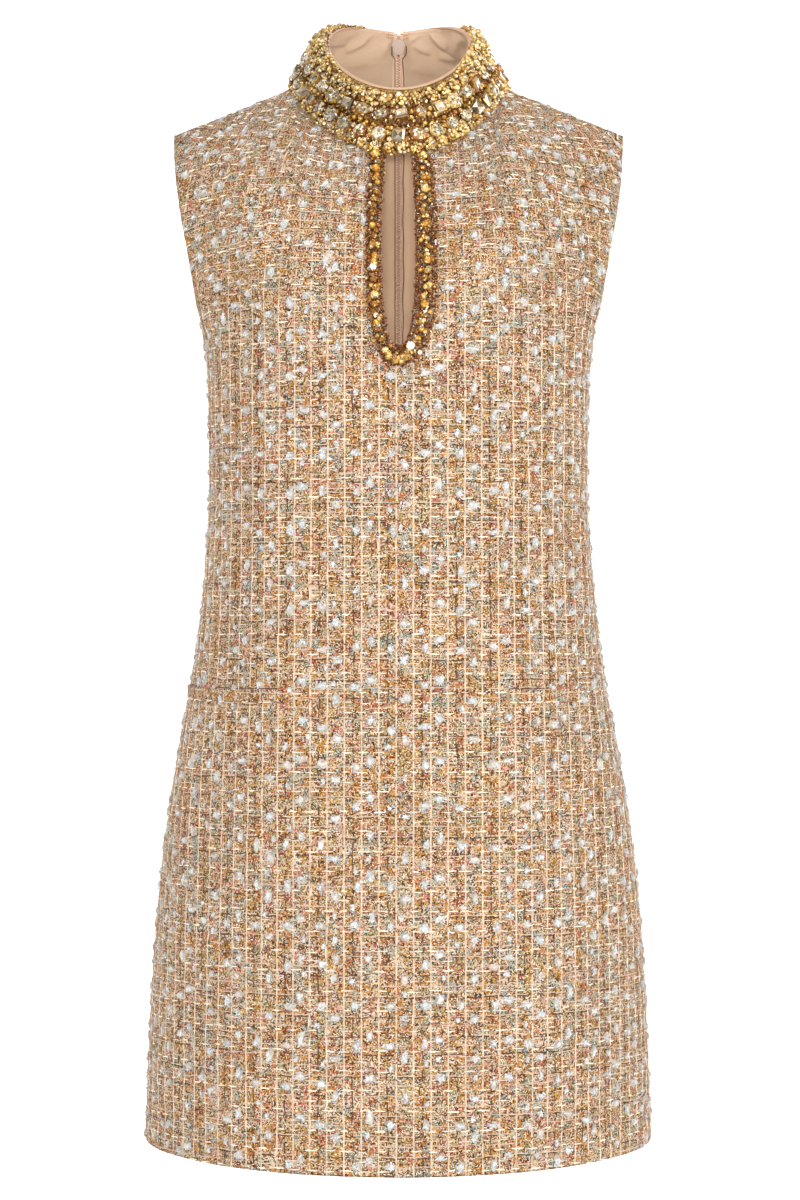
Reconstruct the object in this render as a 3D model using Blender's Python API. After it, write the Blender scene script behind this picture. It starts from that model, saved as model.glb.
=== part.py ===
"""Sleeveless A-line tweed mini dress on an unseen wearer: jewelled funnel collar, beaded keyhole, two welt
pockets, lining and a concealed zip down the centre back.

Metres, +Z up.  The wearer faces -Y and the wearer's left is +X.  The origin lies in the hollow, between the two
points where the shoulder seams meet the collar: that is where the wearer's shoulders carry the dress.
"""

import math
from collections import namedtuple

import bmesh
import bpy
import numpy as np
from mathutils import Matrix, Vector

# ------------------------------------------------------------------ driving sizes (metres)
TWEED = 0.0020          # boucle tweed wall
LINING = 0.0010         # lining wall
TAPE = 0.0006           # zip tape
SEAM = 0.0003           # air between neighbouring pieces
LINING_GAP = SEAM + TAPE + SEAM   # the zip tape lies in here
LINING_EDGE = 0.0039    # from the centre back to the lining's edge beside the zip
UNDERARM = -0.196       # height of the armhole's lowest point
HEM_RISE = 0.0032       # how much higher the hem is at the side seams
LINING_HEM = -0.812     # the lining stops short of the hem
ZIP_FOOT = -0.410       # lower end of the zip
SHOULDER = (0.1795, 0.006, -0.0350)   # outer end of the shoulder seam

# Body sections, hem first: half the width, the depth of front and back from the side seams, and how square the
# section is: 2 is an ellipse
Section = namedtuple("Section", "height half_width front back squareness")
BODY = (
    Section(-0.8365, 0.2000, 0.159, 0.146, 2.00),
    Section(-0.730, 0.1953, 0.153, 0.144, 2.08),
    Section(-0.630, 0.1880, 0.149, 0.142, 2.14),
    Section(-0.534, 0.1748, 0.141, 0.137, 2.20),
    Section(-0.470, 0.1630, 0.134, 0.129, 2.24),
    Section(-0.400, 0.1540, 0.127, 0.116, 2.28),
    Section(-0.320, 0.1489, 0.121, 0.105, 2.30),
    Section(-0.250, 0.1490, 0.124, 0.103, 2.30),
    Section(UNDERARM, 0.1529, 0.128, 0.104, 2.30),
)
# Half the width across the armhole edges, up to the shoulder's end
Edge = namedtuple("Edge", "height half_width")
ARMHOLE = (
    Edge(-0.166, 0.1584),
    Edge(-0.134, 0.1644),
    Edge(-0.102, 0.1708),
    Edge(-0.066, 0.1765),
    Edge(SHOULDER[2], SHOULDER[0]),
)
# Fullness above the underarm: how far the armhole's edge is opened a third of the way up, and the depth steered
# towards at two thirds, at the middle of the panel and at its edge
Fullness = namedtuple("Fullness", "low_edge high_middle high_edge")
CHEST = Fullness(0.062, 0.100, 0.052)
SHOULDER_BLADES = Fullness(0.058, 0.098, 0.054)
ARMHOLE_SPREAD = 8      # the larger, the closer to its edge the armhole's opening stays
ARMHOLE_ROUNDING = 0.35
# How flat a panel leaves the shoulder seam: 1 is a plain curve, less is flatter
FRONT_FLATNESS = 0.84
BACK_FLATNESS = 0.68

# Neck rings: half the width, then depth (y) and height (z) at front, side and back, and how far the ends of the
# collar sag at the zip
Ring = namedtuple("Ring", "half_width y_front y_side y_back z_front z_side z_back back_dip")
NECKLINE = Ring(0.0815, -0.0780, 0.0100, 0.0600, -0.0600, 0.0055, 0.0140, 0.0)
COLLAR_TOP = Ring(0.0580, -0.0580, 0.0010, 0.0500, -0.0080, 0.0400, 0.0630, 0.0062)
COLLAR_GAP = 0.0010     # half the opening at the collar's centre back

# Keyhole: half the opening, from the neckline to its foot
Slit = namedtuple("Slit", "height half_width")
KEYHOLE = (
    Slit(-0.2152, 0.0000),
    Slit(-0.2100, 0.0060),
    Slit(-0.2010, 0.0088),
    Slit(-0.1830, 0.0118),
    Slit(-0.1580, 0.0134),
    Slit(-0.1220, 0.0134),
    Slit(-0.0900, 0.0122),
    Slit(-0.0600, 0.0100),
)
KEYHOLE_LIP = 0.0012    # how far the lining shows inside the keyhole's edge
KEYHOLE_BORDER = 0.0140 # width of the beaded border
KEYHOLE_BORDER_DEPTH = 0.0055
KEYHOLE_BORDER_TOP = -0.0640

# Rows of trim round the collar: where they lie on it (0 at the neckline, 1 at the top edge), how far they stand out
Row = namedtuple("Row", "name low high depth")
COLLAR_ROWS = (
    Row("collar_gold_beads_lower", 0.015, 0.105, 0.0070),
    Row("collar_crystals_lower", 0.115, 0.315, 0.0085),
    Row("collar_gold_beads_middle", 0.325, 0.425, 0.0060),
    Row("collar_crystals_upper", 0.435, 0.675, 0.0085),
    Row("collar_gold_beads_upper", 0.685, 1.010, 0.0090),
)
COLLAR_ROW_GAP = 0.0060 # half the space the rows leave for the zip pull

# Pocket welts: on the front panel, between two of its columns
WELT_TOP = -0.4755
WELT_FOOT = -0.4855
WELT_COLUMNS = (3, 9)
WELT_DEPTH = 0.0018

# Heights of the panel's rows below the underarm, and shares of the way up above it
LOW_ROWS = (-0.8365, LINING_HEM, -0.725, -0.640, -0.560, WELT_FOOT, WELT_TOP, ZIP_FOOT, -0.350, -0.290,
            -0.245, -0.2152, -0.2075)
FRONT_ROWS = (0.0, 0.05, 0.14, 0.27, 0.42, 0.57, 0.72, 0.87, 1.0)
BACK_ROWS = (0.0, 0.05, 0.14, 0.27, 0.42, 0.57, 0.71, 0.83, 0.92, 0.975, 1.0)
NECK_COLUMNS = 6        # columns from the middle to the shoulder seam's inner end
SHOULDER_COLUMNS = 4    # columns along the shoulder seam
COLUMNS = NECK_COLUMNS + SHOULDER_COLUMNS
FRONT, BACK = -1, 1

COLOURS = {
    "tweed": ((0.62, 0.42, 0.24), 0.90, 0.0),
    "lining": ((0.68, 0.48, 0.36), 0.55, 0.0),
    "gold": ((0.80, 0.52, 0.12), 0.25, 1.0),
    "crystal": ((0.86, 0.85, 0.80), 0.05, 0.0),
    "bronze": ((0.45, 0.25, 0.08), 0.30, 0.8),
    "zip": ((0.70, 0.49, 0.38), 0.60, 0.0),
    "enamel": ((0.78, 0.60, 0.50), 0.35, 0.2),
    "steel": ((0.62, 0.60, 0.57), 0.30, 1.0),
}


# ------------------------------------------------------------------ curves
def smooth(table, column, height):
    """Monotone cubic through a table's column, against its height."""
    z = [row.height for row in table]
    v = [getattr(row, column) for row in table]
    if z[0] > z[-1]:
        z, v = z[::-1], v[::-1]
    height = min(max(height, z[0]), z[-1])
    step = [z[i + 1] - z[i] for i in range(len(z) - 1)]
    rise = [(v[i + 1] - v[i]) / step[i] for i in range(len(step))]
    slope = [rise[0]]
    for a, b, p, q in zip(rise, rise[1:], step, step[1:]):
        slope.append(0.0 if a * b <= 0 else (p + q) * 3 / ((2 * q + p) / a + (q + 2 * p) / b))
    slope.append(rise[-1])
    i = next(k for k in range(len(step)) if height <= z[k + 1] or k == len(step) - 1)
    t = (height - z[i]) / step[i]
    return (v[i] * (1 + 2 * t) * (1 - t) ** 2 + slope[i] * step[i] * t * (1 - t) ** 2
            + v[i + 1] * t * t * (3 - 2 * t) + slope[i + 1] * step[i] * t * t * (t - 1))


WIDTHS = BODY + ARMHOLE


def half_width(z):
    return smooth(WIDTHS, "half_width", z)


def keyhole(z):
    return smooth(KEYHOLE, "half_width", z)


def ring_point(ring, phi):
    """A point of a neck ring; phi is 0 at the centre front and pi at the centre back."""
    def wave(front, side, back):
        middle = (front + back) / 2
        a, c = (middle + side) / 2, (middle - side) / 2
        return a + (front - back) / 2 * math.cos(phi) + c * math.cos(2 * phi)
    dip = ring.back_dip * max(-math.cos(phi), 0.0) ** 6
    return Vector((ring.half_width * math.sin(phi), wave(ring.y_front, ring.y_side, ring.y_back),
                   wave(ring.z_front, ring.z_side, ring.z_back) - dip))


def collar_point(phi, share):
    return ring_point(NECKLINE, phi).lerp(ring_point(COLLAR_TOP, phi), share)


def collar_normal(phi, share=0.5):
    e = 1e-4
    around = collar_point(phi + e, share) - collar_point(phi - e, share)
    up = collar_point(phi, share + e) - collar_point(phi, share - e)
    return around.cross(up).normalized()


def top_point(side, x):
    """The panel's top edge above x: the neckline, then the shoulder seam."""
    if x <= NECKLINE.half_width:
        phi = math.asin(min(x / NECKLINE.half_width, 1.0))
        return ring_point(NECKLINE, phi if side == FRONT else math.pi - phi)
    inner = ring_point(NECKLINE, math.pi / 2)
    return inner.lerp(Vector(SHOULDER), (x - inner.x) / (SHOULDER[0] - inner.x))


def section_depth(side, u, z):
    z = min(z, UNDERARM)
    d = smooth(BODY, "front" if side == FRONT else "back", z)
    power = smooth(BODY, "squareness", z)
    return side * d * max(1 - u ** power, 0.0) ** (1 / power)


def depth(side, x, z):
    """y of the body at x and height z."""
    u = min(x / half_width(z), 1.0)
    if z <= UNDERARM:
        return section_depth(side, u, z)
    top = top_point(side, x)
    share = min(max((z - UNDERARM) / (top.z - UNDERARM), 0.0), 1.0)
    s = share ** (1 - ARMHOLE_ROUNDING * u ** 4)
    near = min(x / NECKLINE.half_width, 1.0) ** 2
    s = 1 - (1 - s) ** (1 - near * (1 - (FRONT_FLATNESS if side == FRONT else BACK_FLATNESS)))
    full = CHEST if side == FRONT else SHOULDER_BLADES
    start = section_depth(side, u, UNDERARM)
    slope = (start - section_depth(side, u, UNDERARM - 0.02)) / 0.02
    low = side * math.hypot(start + slope * (top.z - UNDERARM) / 3, full.low_edge * u ** ARMHOLE_SPREAD)
    high = side * math.hypot(full.high_middle * math.sqrt(1 - u * u), full.high_edge * u)
    return ((1 - s) ** 3 * start + 3 * s * (1 - s) ** 2 * low
            + 3 * s * s * (1 - s) * high + s ** 3 * top.y)


# ------------------------------------------------------------------ the body's grid
def column_tops(side, opening):
    """x of each column on the top edge: even steps of angle round the neck, even steps along the shoulder."""
    first = math.asin(opening / NECKLINE.half_width)
    angles = [first] + [math.pi / 2 * j / NECK_COLUMNS for j in range(1, NECK_COLUMNS + 1)]
    tops = [NECKLINE.half_width * math.sin(a) for a in angles]
    span = SHOULDER[0] - NECKLINE.half_width
    return tops + [NECKLINE.half_width + span * j / SHOULDER_COLUMNS for j in range(1, SHOULDER_COLUMNS + 1)]


def body_point(side, column, row, opening):
    """A point of the wall's inner face, on the wearer's left. opening gives half the gap at the middle at a height."""
    z = LOW_ROWS[row] if row < len(LOW_ROWS) else UNDERARM
    low_u = math.sin(math.pi / 2 * column / COLUMNS) ** (2 / smooth(BODY, "squareness", z))
    if row < len(LOW_ROWS):
        if row == 0:
            z += HEM_RISE * low_u ** 2
        gap = opening(z)
        x = gap + low_u * (half_width(z) - gap)
        return Vector((x, depth(side, x, z), z))
    share = (FRONT_ROWS if side == FRONT else BACK_ROWS)[row - len(LOW_ROWS)]
    edge_z = top_point(side, 0.0).z
    top_x = column_tops(side, opening(edge_z))[column]
    top_z = top_point(side, top_x).z
    gap = opening(top_z)
    high_u = (top_x - gap) / (half_width(top_z) - gap)
    blend = share * share * (3 - 2 * share)
    u = low_u + (high_u - low_u) * blend
    z = UNDERARM + share * (top_z - UNDERARM)
    for _ in range(12):
        gap = opening(z)
        x = gap + u * (half_width(z) - gap)
        z = UNDERARM + share * (top_point(side, x).z - UNDERARM)
    if share == 1.0:
        return top_point(side, top_x)
    return Vector((x, depth(side, x, z), z))


def mitre(*normals):
    """The offset that keeps full thickness on every piece meeting at a seam."""
    if len(normals) == 2:
        a, b = normals
        return (a + b) / (1 + a.dot(b))
    rows = np.array([tuple(n) for n in normals])
    return Vector(np.linalg.solve(rows, np.ones(3)))


def body_grid(side, opening):
    """{(column, row): (point, offset)} of one half, on the wearer's left, with its seam allowances."""
    last = len(LOW_ROWS) + len(FRONT_ROWS if side == FRONT else BACK_ROWS) - 1
    raw = {(c, r): body_point(side, c, r, opening) for c in range(COLUMNS + 1) for r in range(last + 1)}

    def face_normal(c, r):
        c0, c1, r0, r1 = max(c - 1, 0), min(c + 1, COLUMNS), max(r - 1, 0), min(r + 1, last)
        across, up = raw[c1, r] - raw[c0, r], raw[c, r1] - raw[c, r0]
        if c == 0:  # the surface runs on past the middle, so its slope across is nil there
            across = Vector((across.x, 0, 0)) if raw[c, r].x < 0.004 else across
        n = across.cross(up) if side == FRONT else up.cross(across)
        return n.normalized()

    grid = {}
    for (c, r), point in raw.items():
        n = face_normal(c, r)
        if c == COLUMNS and r <= len(LOW_ROWS):
            up = raw[c, min(r + 1, len(LOW_ROWS))] - raw[c, max(r - 1, 0)]
            n = Vector((up.z, 0, -up.x)).normalized()
            point = Vector((point.x, side * SEAM / 2, point.z))
        if r == last:

            down = (raw[c, r - 1] - point).normalized()
            if c <= NECK_COLUMNS:
                phi = math.asin(min(point.x / NECKLINE.half_width, 1.0))
                collar = collar_normal(phi if side == FRONT else math.pi - phi, 0.0)
            if c < NECK_COLUMNS:
                n = mitre(n, collar)
            elif c == NECK_COLUMNS:
                n = mitre(n, Vector((n.x, -n.y, n.z)), collar)
            else:
                n = mitre(n, Vector((n.x, -n.y, n.z)))
            point = point + down * SEAM / 2
        grid[c, r] = (point, n)
    return grid


# ------------------------------------------------------------------ mesh helpers
def material(kind):
    name = "dress_" + kind
    found = bpy.data.materials.get(name)
    if found:
        return found
    colour, roughness, metallic = COLOURS[kind]
    made = bpy.data.materials.new(name)
    made.use_nodes = True
    shader = made.node_tree.nodes["Principled BSDF"]
    shader.inputs["Base Color"].default_value = (*colour, 1)
    shader.inputs["Roughness"].default_value = roughness
    shader.inputs["Metallic"].default_value = metallic
    made.diffuse_color = (*colour, 1)
    return made


def finish_object(name, bm, kind, smooth_shading=True):
    bmesh.ops.recalc_face_normals(bm, faces=bm.faces)
    mesh = bpy.data.meshes.new(name)
    bm.to_mesh(mesh)
    bm.free()
    if smooth_shading:
        mesh.shade_smooth()
        mesh.set_sharp_from_angle(angle=math.radians(40))
    mesh.materials.append(material(kind))
    obj = bpy.data.objects.new(name, mesh)
    bpy.context.scene.collection.objects.link(obj)
    return obj


def wall(name, kind, points, quads, inner, outer):
    """A closed wall on a net of {key: (point, offset)}: from inner to outer along each offset."""
    bm = bmesh.new()
    used = sorted({k for quad in quads for k in quad})
    low = {k: bm.verts.new(points[k][0] + points[k][1] * inner) for k in used}
    high = {k: bm.verts.new(points[k][0] + points[k][1] * outer) for k in used}
    edges = {}
    for quad in quads:
        for corners in ((quad[0], quad[1], quad[2]), (quad[0], quad[2], quad[3])):
            bm.faces.new([high[k] for k in corners])
            bm.faces.new([low[k] for k in reversed(corners)])
        for a, b in zip(quad, quad[1:] + quad[:1]):
            edges[a, b] = True
    for a, b in list(edges):
        if (b, a) not in edges:
            bm.faces.new([high[b], high[a], low[a], low[b]])
    return finish_object(name, bm, kind)


def sweep(name, kind, stations):
    """A solid through closed sections of equal count, its two ends capped."""
    bm = bmesh.new()
    loops = [[bm.verts.new(p) for p in station] for station in stations]
    count = len(loops[0])
    for a, b in zip(loops, loops[1:]):
        for i in range(count):
            j = (i + 1) % count
            bm.faces.new([a[i], a[j], b[j], b[i]])
    bm.faces.new(loops[0])
    bm.faces.new(list(reversed(loops[-1])))
    return finish_object(name, bm, kind)


def quads_of(columns, rows, flip=False):
    """The cells of a net, each starting at the corner its diagonal leaves."""
    found = []
    for c0, c1 in zip(columns, columns[1:]):
        for r0, r1 in zip(rows, rows[1:]):
            quad = [(c0, r0), (c1, r0), (c1, r1), (c0, r1)]
            found.append([quad[0], quad[3], quad[2], quad[1]] if flip else quad)
    return found


def mirrored(entry):
    point, offset = entry
    return Vector((-point.x, point.y, point.z)), Vector((-offset.x, offset.y, offset.z))


# ------------------------------------------------------------------ panels
def trimmed(half, middle):
    """The same net with its middle edge moved along its facets: middle gives the new x at a row's first point."""
    moved = dict(half)
    for (c, r), (point, _) in half.items():
        if c == 0:
            moved[c, r] = across((half[0, r], half[1, r]), middle(point))
    return moved


def front_panel(name, kind, inner, outer, lip=0.0, first_row=0):
    """The front, whole across, slit from the neckline to the keyhole's foot."""
    half = trimmed(body_grid(FRONT, keyhole), lambda p: max(p.x - lip, 0.0004) if p.x > 0 else 0.0)
    rows = range(first_row, len(LOW_ROWS) + len(FRONT_ROWS))
    net = {}
    for (c, r), entry in half.items():
        net[c, r] = entry
        point, offset = mirrored(entry)
        if c > 0 or point.x != 0.0:
            net[("left", c), r] = (point, offset)
    quads = quads_of(list(range(COLUMNS + 1)), list(rows))
    for quad in quads_of(list(range(COLUMNS + 1)), list(rows), flip=True):
        quads.append([((("left", c), r) if (("left", c), r) in net else (c, r)) for c, r in quad])
    keyed = {("n", str(k)): v for k, v in net.items()}
    return wall(name, kind, keyed, [[("n", str(k)) for k in quad] for quad in quads], inner, outer)


def back_panel(name, kind, sign, inner, outer, gap=SEAM / 2, first_row=0):
    half = trimmed(body_grid(BACK, lambda z: SEAM / 2), lambda p: gap)
    net = {k: (v if sign > 0 else mirrored(v)) for k, v in half.items()}
    rows = list(range(first_row, len(LOW_ROWS) + len(BACK_ROWS)))
    return wall(name, kind, net, quads_of(list(range(COLUMNS + 1)), rows, flip=sign > 0), inner, outer)


# ------------------------------------------------------------------ collar
def collar_angles(gap):
    """Angles of the collar's columns, from one side of the back opening round the front to the other."""
    edge = math.asin(keyhole(NECKLINE.z_front) / NECKLINE.half_width)
    half = [0.0, edge] + [math.pi / 2 * j / NECK_COLUMNS for j in range(1, 2 * NECK_COLUMNS)]
    end = math.pi - math.asin(gap / COLLAR_TOP.half_width)
    half = [a for a in half if a < end - 0.06] + [end]
    return [-a for a in reversed(half[1:])] + half


def collar_offset(phi, share):
    """The collar's offset: mitred with the body at the neckline, square to the collar above."""
    side = FRONT if abs(phi) <= math.pi / 2 else BACK
    x = abs(NECKLINE.half_width * math.sin(phi))
    e = 0.004
    top = top_point(side, x)
    below = Vector((x, depth(side, x, top.z - e), top.z - e))
    beside = Vector((x + e, depth(side, x + e, top.z - e), top.z - e))
    n = (beside - below).cross(top - below) if side == FRONT else (top - below).cross(beside - below)
    n = n.normalized()
    if phi < 0:
        n.x = -n.x
    if abs(abs(phi) - math.pi / 2) < 1e-6:
        base = mitre(n, Vector((n.x, -n.y, n.z)), collar_normal(phi, 0.0))
    else:
        base = mitre(n, collar_normal(phi, 0.0))
    square = collar_normal(phi, 1.0)
    return base.lerp(square, min(share * 2, 1.0))


def collar_place(phi, share, offset):
    """A point offset from the collar's inner face; share 0 is raised by the seam."""
    foot = SEAM / (collar_point(phi, 1.0) - collar_point(phi, 0.0)).length
    share = foot + share * (1 - foot)
    return collar_point(phi, share) + collar_offset(phi, share) * offset


def collar_band(name, kind, profile, gap):
    """A piece swept round the collar: profile lists (share of the height, offset)."""
    return sweep(name, kind, [[collar_place(phi, share, out) for share, out in profile]
                              for phi in collar_angles(gap)])


def build_collar():
    shares = (0.0, 0.2, 0.4, 0.52, 0.73, 1.0)
    down = shares[::-1]
    collar_band("collar", "tweed", [(s, 0) for s in shares] + [(s, TWEED) for s in down], COLLAR_GAP)
    inner, outer = -LINING_GAP - LINING, -LINING_GAP
    foot = 0.012  # clear of the panels' linings
    collar_band("collar_lining", "lining", [(max(s, foot), inner) for s in shares]
                + [(1.035, inner), (1.035, TWEED), (1.008, TWEED), (1.008, outer)]
                + [(max(s, foot), outer) for s in down[1:]], LINING_EDGE)
    for row in COLLAR_ROWS:
        profile = []
        for k in range(6):
            turn = math.pi * k / 5
            middle, reach = (row.low + row.high) / 2, (row.high - row.low) / 2
            profile.append((middle - reach * math.cos(turn), TWEED + 0.0005 + row.depth * math.sin(turn)))
        kind = "crystal" if "crystals" in row.name else "gold"
        collar_band(row.name, kind, profile, COLLAR_ROW_GAP)


# ------------------------------------------------------------------ what lies on the front
def front_chart(x, z, offset):
    """A point standing off the front's outer face, by x and height."""
    e = 0.002
    ax = abs(x)
    here = Vector((ax, depth(FRONT, ax, z), z))
    beside = Vector((ax + e, depth(FRONT, ax + e, z), z))
    above = Vector((ax, depth(FRONT, ax, z + e), z + e))
    n = (beside - here).cross(above - here).normalized()
    point = here + n * (TWEED + offset)
    return Vector((math.copysign(point.x, x) if ax > 1e-6 else 0.0, point.y, point.z))


def keyhole_path():
    """(x, z, outward x, outward z) down the keyhole's left edge, round its foot and up the other side."""
    heights = [KEYHOLE_BORDER_TOP - 0.0118 * i for i in range(12)] + [-0.2010, -0.2085, -0.2130]
    right = [(keyhole(z), z) for z in heights]
    path = right + [(0.0, KEYHOLE[0].height)] + [(-x, z) for x, z in reversed(right)]
    made = []
    for i, (x, z) in enumerate(path):
        (x0, z0), (x1, z1) = path[max(i - 1, 0)], path[min(i + 1, len(path) - 1)]
        length = math.hypot(x1 - x0, z1 - z0)
        made.append((x, z, -(z1 - z0) / length, (x1 - x0) / length))
    return made


def build_keyhole_border():
    stations = []
    for x, z, out_x, out_z in keyhole_path():
        station = []
        for k in range(6):
            turn = math.pi * k / 5
            reach = 0.0008 + KEYHOLE_BORDER * (0.5 - 0.5 * math.cos(turn))
            px, pz = x + out_x * reach, z + out_z * reach
            station.append(front_chart(px, pz, 0.0008 + KEYHOLE_BORDER_DEPTH * math.sin(turn)))
        stations.append(station)
    sweep("keyhole_beading", "bronze", stations)


def build_welts():
    half = body_grid(FRONT, keyhole)
    rows = [LOW_ROWS.index(WELT_FOOT), LOW_ROWS.index(WELT_TOP)]
    columns = list(range(WELT_COLUMNS[0], WELT_COLUMNS[1] + 1))
    for name, sign in (("pocket_welt_left", 1), ("pocket_welt_right", -1)):
        net = {(c, r): (half[c, r] if sign > 0 else mirrored(half[c, r])) for c in columns for r in rows}
        low = TWEED + SEAM
        wall(name, "tweed", net, quads_of(columns, rows, flip=sign < 0), low, low + WELT_DEPTH)


# ------------------------------------------------------------------ zip
ZIP_TAPE_EDGE = 0.0112  # half the width of the two tapes
ZIP_COIL = 0.0027       # half the width of the closed coil
ZIP_COIL_DEPTH = 0.0018
ZIP_SLOT = 0.0010       # half the slot the slider's fin passes through
SLIDER_FOOT, SLIDER_HEAD = 0.62, 0.90   # where the slider lies on the collar's height
PULL_LENGTH = 0.021


def back_spine():
    """[(point and offset at the middle, at the first column)] from the zip's foot to the collar's top."""
    half = body_grid(BACK, lambda z: SEAM / 2)
    spine = [(half[0, r], half[1, r]) for r in range(LOW_ROWS.index(ZIP_FOOT), len(LOW_ROWS) + len(BACK_ROWS))]
    middle, beside = collar_angles(COLLAR_GAP)[-1], collar_angles(COLLAR_GAP)[-2]
    for share in (0.0, 0.3, 0.58, 0.92):
        foot = SEAM / (collar_point(middle, 1.0) - collar_point(middle, 0.0)).length
        raised = foot + share * (1 - foot)
        spine.append(((collar_point(middle, raised), collar_offset(middle, raised)),
                      (collar_point(beside, raised), collar_offset(beside, raised))))
    return spine


def across(entry, x):
    """Point and offset at x on the facet between the middle and the first column."""
    (p0, n0), (p1, n1) = entry
    share = (x - p0.x) / (p1.x - p0.x)
    return p0.lerp(p1, share), n0.lerp(n1, share)


def build_zip():
    spine = back_spine()
    for name, sign in (("zip_tape_left", 1), ("zip_tape_right", -1)):
        net = {}
        for r, entry in enumerate(spine):
            edge = SEAM if r < len(spine) - 2 else ZIP_SLOT
            for c, x in enumerate((edge, ZIP_TAPE_EDGE)):
                made = across(entry, x)
                net[c, r] = made if sign > 0 else mirrored(made)
        wall(name, "zip", net, quads_of([0, 1], list(range(len(spine))), flip=sign > 0), -SEAM - TAPE, -SEAM)
    net = {}
    coil = spine[:-1]
    for r, entry in enumerate(coil):
        net[1, r] = across(entry, ZIP_COIL)
        net[0, r] = mirrored(net[1, r])
    wall("zip_coil", "zip", net, quads_of([0, 1], list(range(len(coil))), flip=True),
         -LINING_GAP - ZIP_COIL_DEPTH, -LINING_GAP)
    foot, slope = across(spine[0], ZIP_COIL)
    stop = box("zip_bottom_stop", "enamel", (0.0030, 0.0011, 0.0018))
    stop.location = (0, foot.y - slope.y * (LINING_GAP + 0.0012), foot.z - 0.0018 - 0.0009)


def box(name, kind, half_size):
    bm = bmesh.new()
    bmesh.ops.create_cube(bm, size=2.0)
    bmesh.ops.scale(bm, vec=half_size, verts=bm.verts)
    return finish_object(name, bm, kind, smooth_shading=False)


def plate(name, kind, outlines, thickness):
    """A flat plate in XZ, thick along Y, from an outline and any windows in it."""
    curve = bpy.data.curves.new(name, "CURVE")
    curve.dimensions = "2D"
    curve.fill_mode = "BOTH"
    curve.extrude = thickness / 2
    for outline in outlines:
        spline = curve.splines.new("POLY")
        spline.points.add(len(outline) - 1)
        for p, (x, z) in zip(spline.points, outline):
            p.co = (x, z, 0, 1)
        spline.use_cyclic_u = True
    curve.materials.append(material(kind))
    obj = bpy.data.objects.new(name, curve)
    bpy.context.scene.collection.objects.link(obj)
    obj.rotation_euler = (math.pi / 2, 0, 0)
    return obj


def arc(cx, cz, radius, start, end, count):
    return [(cx + radius * math.cos(math.radians(start + (end - start) * i / (count - 1))),
             cz + radius * math.sin(math.radians(start + (end - start) * i / (count - 1)))) for i in range(count)]


def zip_frame():
    """An empty on the pull's axis: local Z runs up the collar's centre back and local Y points out of it."""
    low, high = collar_point(math.pi, SLIDER_FOOT), collar_point(math.pi, SLIDER_HEAD)
    up = (high - low).normalized()
    out = Vector((0, up.z, -up.y))
    empty = bpy.data.objects.new("zip_head", None)
    empty.matrix_world = Matrix(((1, out.x, up.x, low.x), (0, out.y, up.y, low.y), (0, out.z, up.z, low.z),
                                 (0, 0, 0, 1)))
    bpy.context.scene.collection.objects.link(empty)
    return empty, (high - low).length


LUG_OUT = 0.0044        # how far the pull's axis stands off the collar's inner face
LUG_UP = 0.0088         # its height above the slider's foot
LUG_RADIUS, EYE_RADIUS = 0.0019, 0.0010
BAR_RADIUS = 0.00062    # the pull's round bar turns in the eye
PULL_THICKNESS = 0.0010
PULL_REST = math.radians(3.0)   # how far the pull leans on the collar


def placed_plate(name, kind, outlines, thickness, parent, location, rotation):
    """A plate as a plain mesh object that keeps its place under its parent."""
    curve = plate(name, kind, outlines, thickness)
    curve.parent = parent
    curve.location = location
    curve.rotation_euler = rotation
    bpy.context.view_layer.update()
    bm = bmesh.new()
    bm.from_mesh(bpy.data.meshes.new_from_object(curve.evaluated_get(bpy.context.evaluated_depsgraph_get())))
    bmesh.ops.remove_doubles(bm, verts=bm.verts, dist=1e-6)
    bpy.data.objects.remove(curve)
    made = finish_object(name, bm, kind)
    made.parent = parent
    made.location = location
    made.rotation_euler = rotation
    return made


def join_on(base, tool):
    """Unites a tool with its base and leaves the tool as a hidden cutter."""
    tool.hide_render = True
    tool.display_type = "WIRE"
    union = base.modifiers.new(tool.name, "BOOLEAN")
    union.operation = "UNION"
    union.object = tool


def build_slider(empty, length):
    """Shield-shaped body inside, a fin through the opening and a lug with a round eye outside."""
    shield = [(-0.0035, 0.0), (0.0035, 0.0), (0.0047, 0.0050), (0.0052, 0.0085), (0.0040, 0.0110), (0.0022, length),
              (-0.0022, length), (-0.0040, 0.0110), (-0.0052, 0.0085), (-0.0047, 0.0050)]
    upright, edgewise = (math.pi / 2, 0, 0), (math.pi / 2, 0, math.pi / 2)
    slider = placed_plate("zip_slider", "enamel", [shield], 0.0034, empty, (0, -0.0045, 0), upright)
    lug = [(-0.0050, 0.0052), (LUG_OUT - 0.0010, 0.0056)] + arc(LUG_OUT, LUG_UP, LUG_RADIUS, -70, 110, 10) + [
        (-0.0050, LUG_UP + 0.0021)]
    eye = arc(LUG_OUT, LUG_UP, EYE_RADIUS, 0, 345, 24)
    join_on(slider, placed_plate("zip_slider_fin", "enamel", [lug, eye], 0.0012, empty, (0, 0, 0), edgewise))


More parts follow.
